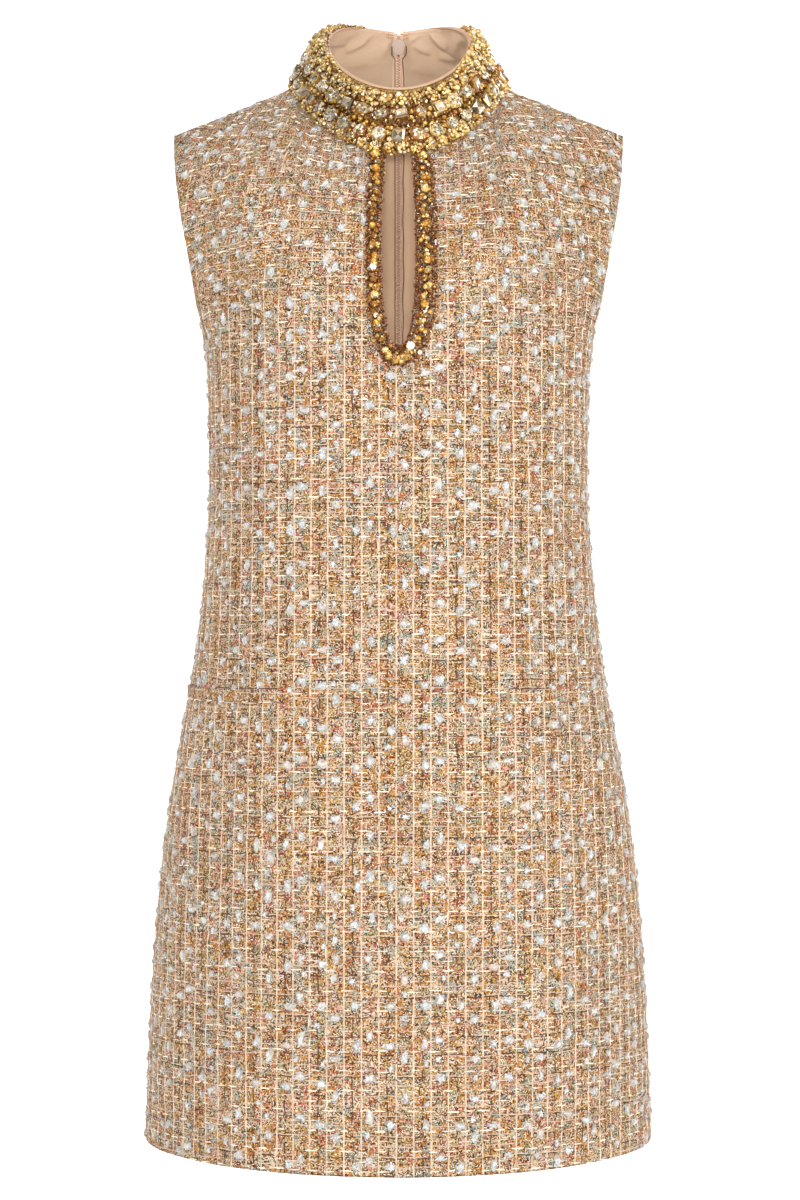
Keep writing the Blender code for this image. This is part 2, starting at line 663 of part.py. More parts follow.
def build_pull(empty):
    """A drop-shaped pull hanging in the lug's eye by a round bar; its origin is on the bar's axis."""
    outline = [(0.0023, 0.0001), (-0.0023, 0.0001), (-0.0023, -0.0030), (-0.0021, -0.0075), (-0.0026, -0.0130)] + arc(
        0, -PULL_LENGTH + 0.0033, 0.0031, 190, 350, 9) + [(0.0026, -0.0130), (0.0021, -0.0075), (0.0023, -0.0030)]
    window = [(0.0011, -0.0001), (-0.0011, -0.0001), (-0.0011, -0.0036), (0.0011, -0.0036)]
    place = (0, LUG_OUT, LUG_UP)
    pull = placed_plate("zip_pull", "enamel", [outline, window], PULL_THICKNESS, empty, place,
                        (math.pi / 2 - PULL_REST, 0, 0))
    bm = bmesh.new()
    bmesh.ops.create_cone(bm, cap_ends=True, segments=24, radius1=BAR_RADIUS, radius2=BAR_RADIUS, depth=0.0045)
    bar = finish_object("zip_pull_bar", bm, "enamel")
    bar.parent = empty
    bar.location = place
    bar.rotation_euler = (0, math.pi / 2, 0)
    join_on(pull, bar)


def wire(name, points, radius):
    curve = bpy.data.curves.new(name, "CURVE")
    curve.dimensions = "3D"
    curve.bevel_depth = radius
    curve.bevel_resolution = 1
    curve.use_fill_caps = True
    spline = curve.splines.new("POLY")
    spline.points.add(len(points) - 1)
    for p, co in zip(spline.points, points):
        p.co = (*co, 1)
    curve.materials.append(material("steel"))
    obj = bpy.data.objects.new(name, curve)
    bpy.context.scene.collection.objects.link(obj)
    return obj


def build_hook_and_eye(empty, length):
    """Closes the collar above the zip: a flat hook on the wearer's right, a round eye on the left."""
    r = 0.00035
    depth_in = -0.0036
    up = length + 0.0032
    eye = [(0.0078, depth_in, up + 0.0016), (0.0060, depth_in, up + 0.0016)] + [
        (x, depth_in, z) for x, z in arc(0.0030, up, 0.0019, 50, 310, 9)] + [
        (0.0060, depth_in, up - 0.0016), (0.0078, depth_in, up - 0.0016)]
    hook = [(-0.0078, depth_in, up + 0.0012), (-0.0030, depth_in, up + 0.0006), (0.0018, depth_in - 0.0012, up + 0.0003),
            (0.0028, depth_in - 0.0013, up), (0.0018, depth_in - 0.0012, up - 0.0003),
            (-0.0030, depth_in, up - 0.0006), (-0.0078, depth_in, up - 0.0012)]
    for name, points in (("collar_eye", eye), ("collar_hook", hook)):
        made = wire(name, points, r)
        made.parent = empty


# ------------------------------------------------------------------ build
def main():
    for obj in list(bpy.data.objects):
        bpy.data.objects.remove(obj)
    lining_row = LOW_ROWS.index(LINING_HEM)
    low, high = -LINING_GAP - LINING, -LINING_GAP
    front_panel("front_panel", "tweed", 0.0, TWEED)
    front_panel("front_lining", "lining", low, high, lip=KEYHOLE_LIP, first_row=lining_row)
    for name, sign in (("left", 1), ("right", -1)):
        back_panel("back_panel_" + name, "tweed", sign, 0.0, TWEED)
        back_panel("back_lining_" + name, "lining", sign, low, high, gap=LINING_EDGE, first_row=lining_row)
    build_collar()
    build_keyhole_border()
    build_welts()
    build_zip()
    empty, length = zip_frame()
    build_slider(empty, length)
    build_pull(empty)
    build_hook_and_eye(empty, length)


main()
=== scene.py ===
"""Looks for the tweed mini dress: every soft CAD solid is replaced by a detailed piece on the same form.

Cloth pieces are thin shells on the panels' own surface, each point carrying its place in the flat cloth (the
"cloth" UV map, in metres along the grain). The tweed's yarns, slubs and loose fibres are laid out in that flat
cloth and then mapped onto the body, so they follow the form. All lengths are metres, in the CAD frame.
"""
import math

import bpy
import numpy as np
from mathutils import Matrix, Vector


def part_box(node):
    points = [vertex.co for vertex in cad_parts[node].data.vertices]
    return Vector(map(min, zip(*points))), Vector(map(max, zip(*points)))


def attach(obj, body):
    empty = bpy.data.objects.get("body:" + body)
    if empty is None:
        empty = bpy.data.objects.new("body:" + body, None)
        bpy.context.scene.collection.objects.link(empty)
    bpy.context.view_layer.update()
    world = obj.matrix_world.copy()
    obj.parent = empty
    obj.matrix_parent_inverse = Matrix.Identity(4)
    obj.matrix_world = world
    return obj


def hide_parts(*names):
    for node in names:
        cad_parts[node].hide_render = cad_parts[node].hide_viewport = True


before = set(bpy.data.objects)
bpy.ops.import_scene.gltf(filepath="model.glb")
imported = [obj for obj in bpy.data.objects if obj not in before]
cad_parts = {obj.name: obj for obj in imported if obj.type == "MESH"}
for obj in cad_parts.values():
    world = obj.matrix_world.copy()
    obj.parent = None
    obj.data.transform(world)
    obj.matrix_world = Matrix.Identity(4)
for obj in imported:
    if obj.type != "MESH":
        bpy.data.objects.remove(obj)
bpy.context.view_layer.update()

# ------------------------------------------------------------------ the CAD's driving sizes
TWEED, LINING, TAPE, SEAM = 0.0020, 0.0010, 0.0006, 0.0003
LINING_GAP = SEAM + TAPE + SEAM
LINING_EDGE = 0.0039
UNDERARM, HEM_RISE, LINING_HEM, ZIP_FOOT = -0.196, 0.0032, -0.812, -0.410
SHOULDER = np.array((0.1795, 0.006, -0.0350))
HEM = -0.8365
BODY = np.array((   # height, half width, front, back, squareness
    (-0.8365, 0.2000, 0.159, 0.146, 2.00), (-0.730, 0.1953, 0.153, 0.144, 2.08),
    (-0.630, 0.1880, 0.149, 0.142, 2.14), (-0.534, 0.1748, 0.141, 0.137, 2.20),
    (-0.470, 0.1630, 0.134, 0.129, 2.24), (-0.400, 0.1540, 0.127, 0.116, 2.28),
    (-0.320, 0.1489, 0.121, 0.105, 2.30), (-0.250, 0.1490, 0.124, 0.103, 2.30),
    (UNDERARM, 0.1529, 0.128, 0.104, 2.30)))
ARMHOLE = np.array(((-0.166, 0.1584), (-0.134, 0.1644), (-0.102, 0.1708), (-0.066, 0.1765), (-0.0350, 0.1795)))
KEYHOLE = np.array(((-0.2152, 0.0), (-0.2100, 0.0060), (-0.2010, 0.0088), (-0.1830, 0.0118), (-0.1580, 0.0134),
                    (-0.1220, 0.0134), (-0.0900, 0.0122), (-0.0600, 0.0100)))
FRONT_FULL, BACK_FULL = (0.062, 0.100, 0.052), (0.058, 0.098, 0.054)
NECKLINE = dict(w=0.0815, yf=-0.0780, ys=0.0100, yb=0.0600, zf=-0.0600, zs=0.0055, zb=0.0140, dip=0.0)
COLLAR_TOP = dict(w=0.0580, yf=-0.0580, ys=0.0010, yb=0.0500, zf=-0.0080, zs=0.0400, zb=0.0630, dip=0.0062)
KEYHOLE_BORDER = 0.0140
WELT_TOP, WELT_FOOT = -0.4755, -0.4855
FRONT, BACK = -1, 1


# ------------------------------------------------------------------ curves, for whole arrays at once
def cubic(z, v):
    """Monotone cubic through (z, v), as in the CAD, as a function of an array."""
    z, v = np.asarray(z, float), np.asarray(v, float)
    if z[0] > z[-1]:
        z, v = z[::-1], v[::-1]
    step = np.diff(z)
    rise = np.diff(v) / step
    slope = np.zeros(len(z))
    slope[0], slope[-1] = rise[0], rise[-1]
    for k in range(1, len(z) - 1):
        a, b, p, q = rise[k - 1], rise[k], step[k - 1], step[k]
        slope[k] = 0.0 if a * b <= 0 else (p + q) * 3 / ((2 * q + p) / a + (q + 2 * p) / b)

    def at(height):
        h = np.clip(np.asarray(height, float), z[0], z[-1])
        i = np.clip(np.searchsorted(z, h, side="right") - 1, 0, len(step) - 1)
        s = step[i]
        t = (h - z[i]) / s
        return (v[i] * (1 + 2 * t) * (1 - t) ** 2 + slope[i] * s * t * (1 - t) ** 2
                + v[i + 1] * t * t * (3 - 2 * t) + slope[i + 1] * s * t * t * (t - 1))
    return at


half_width = cubic(np.r_[BODY[:, 0], ARMHOLE[:, 0]], np.r_[BODY[:, 1], ARMHOLE[:, 1]])
front_depth, back_depth = cubic(BODY[:, 0], BODY[:, 2]), cubic(BODY[:, 0], BODY[:, 3])
squareness = cubic(BODY[:, 0], BODY[:, 4])
keyhole = cubic(KEYHOLE[:, 0], KEYHOLE[:, 1])


def smoothstep(t):
    t = np.clip(t, 0, 1)
    return t * t * (3 - 2 * t)


def unit(v):
    return v / np.maximum(np.linalg.norm(v, axis=-1, keepdims=True), 1e-12)


def ring_point(ring, phi):
    phi = np.asarray(phi, float)

    def wave(front, side, back):
        middle = (front + back) / 2
        a, c = (middle + side) / 2, (middle - side) / 2
        return a + (front - back) / 2 * np.cos(phi) + c * np.cos(2 * phi)
    dip = ring["dip"] * np.maximum(-np.cos(phi), 0.0) ** 6
    return np.stack((ring["w"] * np.sin(phi), wave(ring["yf"], ring["ys"], ring["yb"]),
                     wave(ring["zf"], ring["zs"], ring["zb"]) - dip), -1)


def collar_point(phi, share):
    a, b = ring_point(NECKLINE, phi), ring_point(COLLAR_TOP, phi)
    share = np.asarray(share, float)[..., None]
    return a + (b - a) * share


def collar_normal(phi, share):
    e = 1e-4
    around = collar_point(phi + e, share) - collar_point(phi - e, share)
    up = collar_point(phi, share + e) - collar_point(phi, share - e)
    return unit(np.cross(around, up))


def collar_at(phi, share, offset):
    """A point off the collar's inner face; phi 0 is the centre front and pi the centre back."""
    phi, share = np.broadcast_arrays(np.asarray(phi, float), np.asarray(share, float))
    return collar_point(phi, share) + collar_normal(phi, share) * np.asarray(offset)[..., None]


def top_point(side, x):
    """The panel's top edge above x: the neckline, then the shoulder seam."""
    x = np.asarray(x, float)
    phi = np.arcsin(np.clip(x / NECKLINE["w"], 0, 1))
    neck = ring_point(NECKLINE, phi if side == FRONT else math.pi - phi)
    inner = ring_point(NECKLINE, math.pi / 2)
    t = ((x - inner[0]) / (SHOULDER[0] - inner[0]))[..., None]
    return np.where((x <= NECKLINE["w"])[..., None], neck, inner + (SHOULDER - inner) * t)


def section_depth(side, u, z):
    z = np.minimum(z, UNDERARM)
    d = (front_depth if side == FRONT else back_depth)(z)
    power = squareness(z)
    return side * d * np.maximum(1 - u ** power, 0.0) ** (1 / power)


def depth(side, x, z):
    """y of the body's inner face at x and height z."""
    u = np.clip(x / half_width(z), 0, 1)
    low_y = section_depth(side, u, z)
    top = top_point(side, x)
    share = np.clip((z - UNDERARM) / (top[..., 2] - UNDERARM), 0, 1)
    s = share ** (1 - 0.35 * u ** 4)
    near = np.minimum(x / NECKLINE["w"], 1.0) ** 2
    s = 1 - (1 - s) ** (1 - near * (1 - (0.84 if side == FRONT else 0.68)))
    full = FRONT_FULL if side == FRONT else BACK_FULL
    start = section_depth(side, u, UNDERARM)
    slope = (start - section_depth(side, u, UNDERARM - 0.02)) / 0.02
    low = side * np.hypot(start + slope * (top[..., 2] - UNDERARM) / 3, full[0] * u ** 8)
    high = side * np.hypot(full[1] * np.sqrt(1 - u * u), full[2] * u)
    up_y = ((1 - s) ** 3 * start + 3 * s * (1 - s) ** 2 * low + 3 * s * s * (1 - s) * high + s ** 3 * top[..., 1])
    return np.where(z <= UNDERARM, low_y, up_y)


# ------------------------------------------------------------------ seeded noise
def lattice(seed):
    table = np.random.default_rng(seed).random((128, 128))

    def at(x, y):
        xi, yi = np.floor(x).astype(int), np.floor(y).astype(int)
        fx, fy = smoothstep(x - xi), smoothstep(y - yi)
        a, b = table[xi % 128, yi % 128], table[(xi + 1) % 128, yi % 128]
        c, d = table[xi % 128, (yi + 1) % 128], table[(xi + 1) % 128, (yi + 1) % 128]
        return (a + (b - a) * fx) * (1 - fy) + (c + (d - c) * fx) * fy - 0.5
    return at


LUMP_A, LUMP_B, LUMP_C = lattice(11), lattice(12), lattice(13)


# ------------------------------------------------------------------ listed folds
# side, then a line in x and z from one end to the other, its half width, how far it sinks (-) or rises (+)
FOLDS = (
    (FRONT, (0.022, -0.235), (0.030, -0.800), 0.016, -0.0011),
    (FRONT, (-0.118, -0.250), (-0.142, -0.640), 0.022, -0.0022),
    (FRONT, (-0.090, -0.280), (-0.098, -0.560), 0.018, 0.0010),
    (FRONT, (-0.150, -0.075), (-0.112, -0.215), 0.016, -0.0026),
    (FRONT, (-0.128, -0.080), (-0.088, -0.200), 0.014, 0.0012),
    (FRONT, (0.140, -0.070), (0.108, -0.190), 0.015, -0.0022),
    (FRONT, (0.122, -0.045), (0.150, -0.110), 0.014, -0.0018),
    (FRONT, (0.120, -0.300), (0.134, -0.600), 0.020, -0.0014),
    (FRONT, (0.086, -0.420), (0.100, -0.830), 0.024, 0.0012),
    (FRONT, (-0.060, -0.520), (-0.072, -0.830), 0.026, 0.0012),
    (FRONT, (0.150, -0.560), (0.164, -0.830), 0.018, -0.0016),
    (FRONT, (-0.146, -0.600), (-0.166, -0.830), 0.018, -0.0018),
    (FRONT, (-0.020, -0.540), (-0.024, -0.830), 0.020, -0.0009),
    (FRONT, (0.052, -0.250), (0.100, -0.330), 0.016, 0.0008),
    (BACK, (0.085, -0.230), (0.096, -0.520), 0.022, -0.0018),
    (BACK, (-0.092, -0.210), (-0.084, -0.480), 0.024, -0.0020),
    (BACK, (0.052, -0.480), (0.070, -0.830), 0.024, 0.0014),
    (BACK, (-0.062, -0.520), (-0.066, -0.830), 0.026, 0.0013),
    (BACK, (0.120, -0.560), (0.146, -0.830), 0.020, -0.0016),
    (BACK, (-0.128, -0.540), (-0.150, -0.830), 0.022, -0.0014),
    (BACK, (0.142, -0.080), (0.104, -0.185), 0.016, -0.0022),
    (BACK, (-0.146, -0.070), (-0.100, -0.200), 0.018, -0.0020),
    (BACK, (0.060, -0.060), (0.120, -0.120), 0.018, 0.0010),
    (BACK, (0.030, -0.330), (0.100, -0.372), 0.014, -0.0012),
    (BACK, (-0.034, -0.350), (-0.108, -0.338), 0.015, -0.0011),
)


def fold(side, x, z):
    """How far the cloth stands off the plain form: soft troughs and ridges, gone at the zip."""
    total = np.zeros(np.shape(x))
    for of_side, (x0, z0), (x1, z1), width, height in FOLDS:
        if of_side != side:
            continue
        dx, dz = x1 - x0, z1 - z0
        length2 = dx * dx + dz * dz
        t = ((x - x0) * dx + (z - z0) * dz) / length2
        along = np.exp(-np.maximum(np.abs(t - 0.5) - 0.32, 0) ** 2 / 0.035)
        off = np.abs((x - x0) * dz - (z - z0) * dx) / math.sqrt(length2)
        off = off * (1 + 0.25 * LUMP_C(t * 4 + x0 * 50, t * 0 + 3))
        total += height * along * np.exp(-(off / width) ** 2)
    total += 0.0011 * LUMP_C(x * 16 + side * 9.5, z * 9)
    keep = smoothstep((np.abs(x) - 0.012) / 0.03) if side == BACK else 1.0
    return total * keep


def settle(side, P, U, V):
    """The folds on a half panel, fading out at its seams."""
    seam = smoothstep((U[:, -1:] - U) / 0.030)
    seam[V[:, 0] > V[-1, 0] - 0.25] = 1.0
    side_fade = smoothstep((U[:, -1:] - U) / 0.012) * 0.7 + 0.3
    edge = np.where((P[..., 2] > UNDERARM), side_fade, seam)
    return fold(side, P[..., 0], P[..., 2]) * edge * smoothstep((V[-1:] - V) / 0.022)


# ------------------------------------------------------------------ the body's surface, as fine as asked
def body_surface(side, columns, spacing, opening, low=HEM, rows=None):
    """One half of a panel, on the wearer's left: inner face P, its outward normal N, and the flat cloth's U and V."""
    column = np.linspace(0, 10, columns + 1)
    if rows is None:
        below = np.linspace(low, UNDERARM, max(int((UNDERARM - low) / spacing), 2))
        above = np.linspace(0, 1, max(int(0.195 / spacing), 2))[1:]
    edge_z = top_point(side, np.array(0.0))[2]
    first = math.asin(float(opening(edge_z)) / NECKLINE["w"])
    angles = np.interp(column, range(7), [first] + [math.pi / 2 * j / 6 for j in range(1, 7)])
    tops = np.where(column <= 6, NECKLINE["w"] * np.sin(angles),
                    NECKLINE["w"] + (SHOULDER[0] - NECKLINE["w"]) * (column - 6) / 4)
    sine = np.sin(math.pi / 2 * column / 10)
    z = np.repeat(below[:, None], columns + 1, 1)
    low_u = sine ** (2 / squareness(z))
    z = z + HEM_RISE * low_u ** 2 * (1 - smoothstep((z - HEM) / 0.03))
    gap = opening(z)
    x = gap + low_u * (half_width(z) - gap)
    lower = np.stack((x, depth(side, x, z), z), -1)
    share = np.repeat(above[:, None], columns + 1, 1)
    low_u = np.repeat((sine ** (2 / squareness(UNDERARM)))[None], len(above), 0)
    top_x = np.repeat(tops[None], len(above), 0)
    top_z = top_point(side, top_x)[..., 2]
    gap = opening(top_z)
    high_u = (top_x - gap) / (half_width(top_z) - gap)
    u = low_u + (high_u - low_u) * smoothstep(share)
    z = UNDERARM + share * (top_z - UNDERARM)
    for _ in range(12):
        gap = opening(z)
        x = gap + u * (half_width(z) - gap)
        z = UNDERARM + share * (top_point(side, x)[..., 2] - UNDERARM)
    upper = np.stack((x, depth(side, x, z), z), -1)
    upper[-1] = top_point(side, tops)
    P = np.concatenate((lower, upper), 0)

    across = np.gradient(P, axis=1)
    near_middle = P[:, 0, 0] < 0.004
    across[near_middle, 0, 1:] = 0
    up = np.gradient(P, axis=0)
    N = unit(np.cross(across, up) if side == FRONT else np.cross(up, across))
    under = len(below)
    edge_up = up[:under + 1, -1]
    N[:under + 1, -1] = unit(np.stack((edge_up[:, 2], 0 * edge_up[:, 2], -edge_up[:, 0]), -1))
    P[:under, -1, 1] = side * SEAM / 2
    n = N[-1].copy()
    other = n * np.array((1, -1, 1))
    seam = column > 6
    N[-1, seam] = ((n + other) / (1 + (n * other).sum(-1, keepdims=True)))[seam]
    phi = np.arcsin(np.clip(tops[~seam] / NECKLINE["w"], 0, 1))
    c = collar_normal(phi if side == FRONT else math.pi - phi, np.zeros(len(phi)))
    N[-1, ~seam] = (n[~seam] + c) / (1 + (n[~seam] * c).sum(-1, keepdims=True))

    step = np.linalg.norm(np.diff(P, axis=1), axis=-1)
    U = P[:, :1, 0] + np.concatenate((np.zeros((len(P), 1)), np.cumsum(step, 1)), 1)
    waist = int(np.argmin(np.abs(P[:, 0, 2] + 0.29)))
    du = np.diff(U, axis=0)
    rise = np.sqrt(np.maximum((np.diff(P, axis=0) ** 2).sum(-1) - du ** 2, 0))
    V = np.concatenate((np.zeros((1, columns + 1)), np.cumsum(rise, 0)), 0)
    V = V - V[waist] + P[waist, :, 2]
    return dict(P=P, N=N, U=U, V=V, side=side, under=under)


def relief(u, v):
    """The tweed's lumps: loops a few millimetres across, and the ridge of each cream yarn."""
    a = LUMP_A(u / 0.0036, v / 0.0031) * 0.00075
    b = LUMP_B(u / 0.0075 + 31, v / 0.0085 + 5) * 0.00060
    d = np.abs((u - CREAM_PHASE) / CREAM_PITCH - np.round((u - CREAM_PHASE) / CREAM_PITCH)) * CREAM_PITCH
    return a + b + 0.00035 * np.exp(-(d / 0.0011) ** 2)


CREAM_PITCH, CREAM_PHASE = 0.0130, -0.0016
REPEAT = 0.0298      # the weave's pattern comes round again every so far down the cloth


class Cloth:
    """A half panel of tweed: its outer face, and the map from the flat cloth onto it."""

    def __init__(self, side, sign, columns, spacing, opening, shift=0.0):
        s = body_surface(side, columns, spacing, opening)
        self.side, self.sign, self.shift, self.under = side, sign, shift, s["under"]
        flip = np.array((sign, 1, 1))
        self.P, self.N = s["P"] * flip, s["N"] * flip
        self.U, self.V = s["U"], s["V"]
        u, v = self.cloth_u(self.U), self.V
        rise = relief(u, v)
        edge = np.minimum.reduce((self.U[:, -1:] - self.U, self.edge_distance()))
        rise = rise - 0.0009 * np.exp(-(edge / 0.0022) ** 2)
        self.off = settle(side, self.P, self.U, self.V)
        self.top = self.P + self.N * (TWEED + rise + self.off)[..., None]
        self.back_face = self.P + self.N * self.off[..., None]
        self.unit = unit(self.N)
        self.row_step = float((self.V[-1, 0] - self.V[0, 0]) / (len(self.V) - 1))
        self.column_step = float(self.U.max() / (self.U.shape[1] - 1))

    def edge_distance(self):
        """Rough distance to the top seam."""
        d = np.abs(self.V[-1][None] - self.V)
        return np.where(np.arange(self.U.shape[1])[None] > 0, d, 1.0) + 0.0

    def cloth_u(self, u):
        return self.sign * u + self.shift

    def place(self, u, v, h):
        """Points standing h off the tweed at flat-cloth (u, v), and which of them lie on this half."""
        target = (np.asarray(u) - self.shift) * self.sign
        rows, columns = self.U.shape
        r = np.clip((np.asarray(v) - self.V[0].mean()) / (self.V[-1, 0] - self.V[0, 0]) * (rows - 1), 0, rows - 2)
        c = np.clip(target / self.U.max() * (columns - 1), 0, columns - 2)
        for _ in range(14):
            i, j = np.clip(r.astype(int), 0, rows - 2), np.clip(c.astype(int), 0, columns - 2)
            fr, fc = r - i, c - j

            def mix(a):
                return (a[i, j] * (1 - fr) * (1 - fc) + a[i + 1, j] * fr * (1 - fc)
                        + a[i, j + 1] * (1 - fr) * fc + a[i + 1, j + 1] * fr * fc)
            uc, ur = self.U[i, j + 1] - self.U[i, j], self.U[i + 1, j] - self.U[i, j]
            vc, vr = self.V[i, j + 1] - self.V[i, j], self.V[i + 1, j] - self.V[i, j]
            eu, ev = target - mix(self.U), v - mix(self.V)
            det = uc * vr - ur * vc
            det = np.where(np.abs(det) < 1e-12, 1e-12, det)
            c = np.clip(c + np.clip((eu * vr - ev * ur) / det, -30, 30), -0.9, columns - 0.1)
            r = np.clip(r + np.clip((ev * uc - eu * vc) / det, -30, 30), -0.9, rows - 0.1)
        i, j = np.clip(r.astype(int), 0, rows - 2), np.clip(c.astype(int), 0, columns - 2)
        fr, fc = (r - i)[..., None], (c - j)[..., None]

        def mix3(a):
            return (a[i, j] * (1 - fr) * (1 - fc) + a[i + 1, j] * fr * (1 - fc)
                    + a[i, j + 1] * (1 - fr) * fc + a[i + 1, j + 1] * fr * fc)
        fr0, fc0 = fr[..., 0], fc[..., 0]
        eu = target - (self.U[i, j] * (1 - fr0) * (1 - fc0) + self.U[i + 1, j] * fr0 * (1 - fc0)
                       + self.U[i, j + 1] * (1 - fr0) * fc0 + self.U[i + 1, j + 1] * fr0 * fc0)
        slack_r, slack_c = 0.0008 / self.row_step, 0.0006 / self.column_step
        good = (np.abs(eu) < 0.0006) & (r > -slack_r) & (r < rows - 1 + slack_r * 0.5) & (c > -slack_c * 0.3) \
            & (c < columns - 1 + slack_c)
        return mix3(self.top) + mix3(self.unit) * np.asarray(h)[..., None], good


# ------------------------------------------------------------------ mesh building
def mesh_piece(name, verts, faces, material, uvs=None, tint=None, smooth=True, corner_tint=None):
    """One mesh object. tint is a colour per face."""
    mesh = bpy.data.meshes.new(name)
    verts = np.asarray(verts, float)
    counts = np.array([len(f) for f in faces])
    flat = np.concatenate([np.asarray(f, np.int64) for f in faces]) if not isinstance(faces, np.ndarray) \
        else faces.ravel()
    if isinstance(faces, np.ndarray):
        counts = np.full(len(faces), faces.shape[1])
    mesh.vertices.add(len(verts))
    mesh.vertices.foreach_set("co", verts.ravel())
    mesh.loops.add(len(flat))
    mesh.loops.foreach_set("vertex_index", flat.astype(np.int32))
    mesh.polygons.add(len(counts))
    starts = np.concatenate(([0], np.cumsum(counts)[:-1]))
    mesh.polygons.foreach_set("loop_start", starts.astype(np.int32))
    mesh.update(calc_edges=True)
    mesh.validate()
    if uvs is not None:
        layer = mesh.uv_layers.new(name="cloth")
        layer.data.foreach_set("uv", np.asarray(uvs, float)[flat].ravel())
    if tint is not None:
        layer = mesh.attributes.new("tint", "FLOAT_COLOR", "CORNER")
        colour = np.repeat(np.c_[tint, np.ones(len(tint))], counts, 0)
        layer.data.foreach_set("color", colour.astype(np.float32).ravel())
    if smooth:
        mesh.shade_smooth()
    else:
        mesh.shade_flat()
    mesh.materials.append(material)
    obj = bpy.data.objects.new(name, mesh)
    bpy.context.scene.collection.objects.link(obj)
    return obj


def on_dress(obj, slot, *nodes):
    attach(obj, "dress")
    if nodes:
        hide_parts(*nodes)
    return obj


def grid_faces(rows, columns, flip=False, index=None):
    """Quads of a grid of vertices; index gives each vertex's number, shaped (rows, columns)."""
    if index is None:
        index = np.arange(rows * columns).reshape(rows, columns)
    a, b, c, d = index[:-1, :-1], index[:-1, 1:], index[1:, 1:], index[1:, :-1]
    quads = np.stack((a, d, c, b) if flip else (a, b, c, d), -1).reshape(-1, 4)
    return quads


def border_strip(quads, verts, inner_of):
    """Closes a sheet's open edges: a strip from each border edge to the same point moved inwards."""
    edges = np.concatenate([quads[:, [k, (k + 1) % 4]] for k in range(4)])
    key = np.sort(edges, 1)
    _, first, count = np.unique(key, axis=0, return_index=True, return_counts=True)
    border = edges[first[count == 1]]
    used = np.unique(border)
    new = {int(k): len(verts) + n for n, k in enumerate(used)}
    moved = inner_of[used]
    remap = np.zeros(int(used.max()) + 1, int)
    remap[used] = [new[int(k)] for k in used]
    strip = np.stack((border[:, 1], border[:, 0], remap[border[:, 0]], remap[border[:, 1]]), -1)
    return np.concatenate((verts, moved)), np.concatenate((quads, strip)), used


def tube(points, radius, sides=6, closed=False, up=(0, 0, 1)):
    """Vertices and faces of a tube along points; radius may vary."""
    points = np.asarray(points, float)
    n = len(points)
    tangent = unit(np.gradient(points, axis=0)) if not closed else unit(
        np.roll(points, -1, 0) - np.roll(points, 1, 0))
    normal = np.zeros_like(points)
    ref = np.array(up, float)
    for k in range(n):
        ref = ref - tangent[k] * (ref @ tangent[k])
        if np.linalg.norm(ref) < 1e-6:
            ref = np.cross(tangent[k], (1, 0, 0.3))
        ref = ref / np.linalg.norm(ref)
        normal[k] = ref
    binormal = np.cross(tangent, normal)
    angle = np.arange(sides) * 2 * math.pi / sides
    radius = np.broadcast_to(np.asarray(radius, float), (n,))
    ring = (normal[:, None] * np.cos(angle)[None, :, None] + binormal[:, None] * np.sin(angle)[None, :, None])
    verts = (points[:, None] + ring * radius[:, None, None]).reshape(-1, 3)
    faces = []
    for k in range(n if closed else n - 1):
        for j in range(sides):
            a, b = k * sides + j, k * sides + (j + 1) % sides
            c, d = ((k + 1) % n) * sides + (j + 1) % sides, ((k + 1) % n) * sides + j
            faces.append((a, b, c, d))
    if not closed:
        faces.append(tuple(range(sides))[::-1])
        faces.append(tuple((n - 1) * sides + j for j in range(sides)))
    return verts, faces


class Gather:
    """Collects many small shapes into one mesh, each face with its own colour."""

    def __init__(self):
        self.verts, self.faces, self.tints, self.count = [], [], [], 0

    def add(self, verts, faces, tint):
        """One shape; tint is one colour, or one for each face."""
        self.verts.append(np.asarray(verts, float))
        self.faces += [tuple(int(i) + self.count for i in f) for f in faces]
        tint = np.asarray(tint, float)
        self.tints.append(np.broadcast_to(tint, (len(faces), 3)) if tint.ndim == 1 else tint)
        self.count += len(verts)

    def many(self, template, verts, tints):
        """The same shape many times: verts is (k, n, 3) and tints is (k, faces, 3)."""
        k, n, _ = verts.shape
        self.verts.append(verts.reshape(-1, 3))
        for f in range(k):
            base = self.count + f * n
            self.faces += [tuple(i + base for i in face) for face in template]
        self.tints.append(tints.reshape(-1, 3))
        self.count += k * n

    def build(self, name, material, smooth=False):
        return mesh_piece(name, np.concatenate(self.verts), self.faces, material,
                          tint=np.concatenate(self.tints), smooth=smooth)


def linear(rgb):
    """Display colour, 0 to 255, to scene-linear."""
    c = np.asarray(rgb, float) / 255
    return np.where(c <= 0.04045, c / 12.92, ((c + 0.055) / 1.055) ** 2.4)


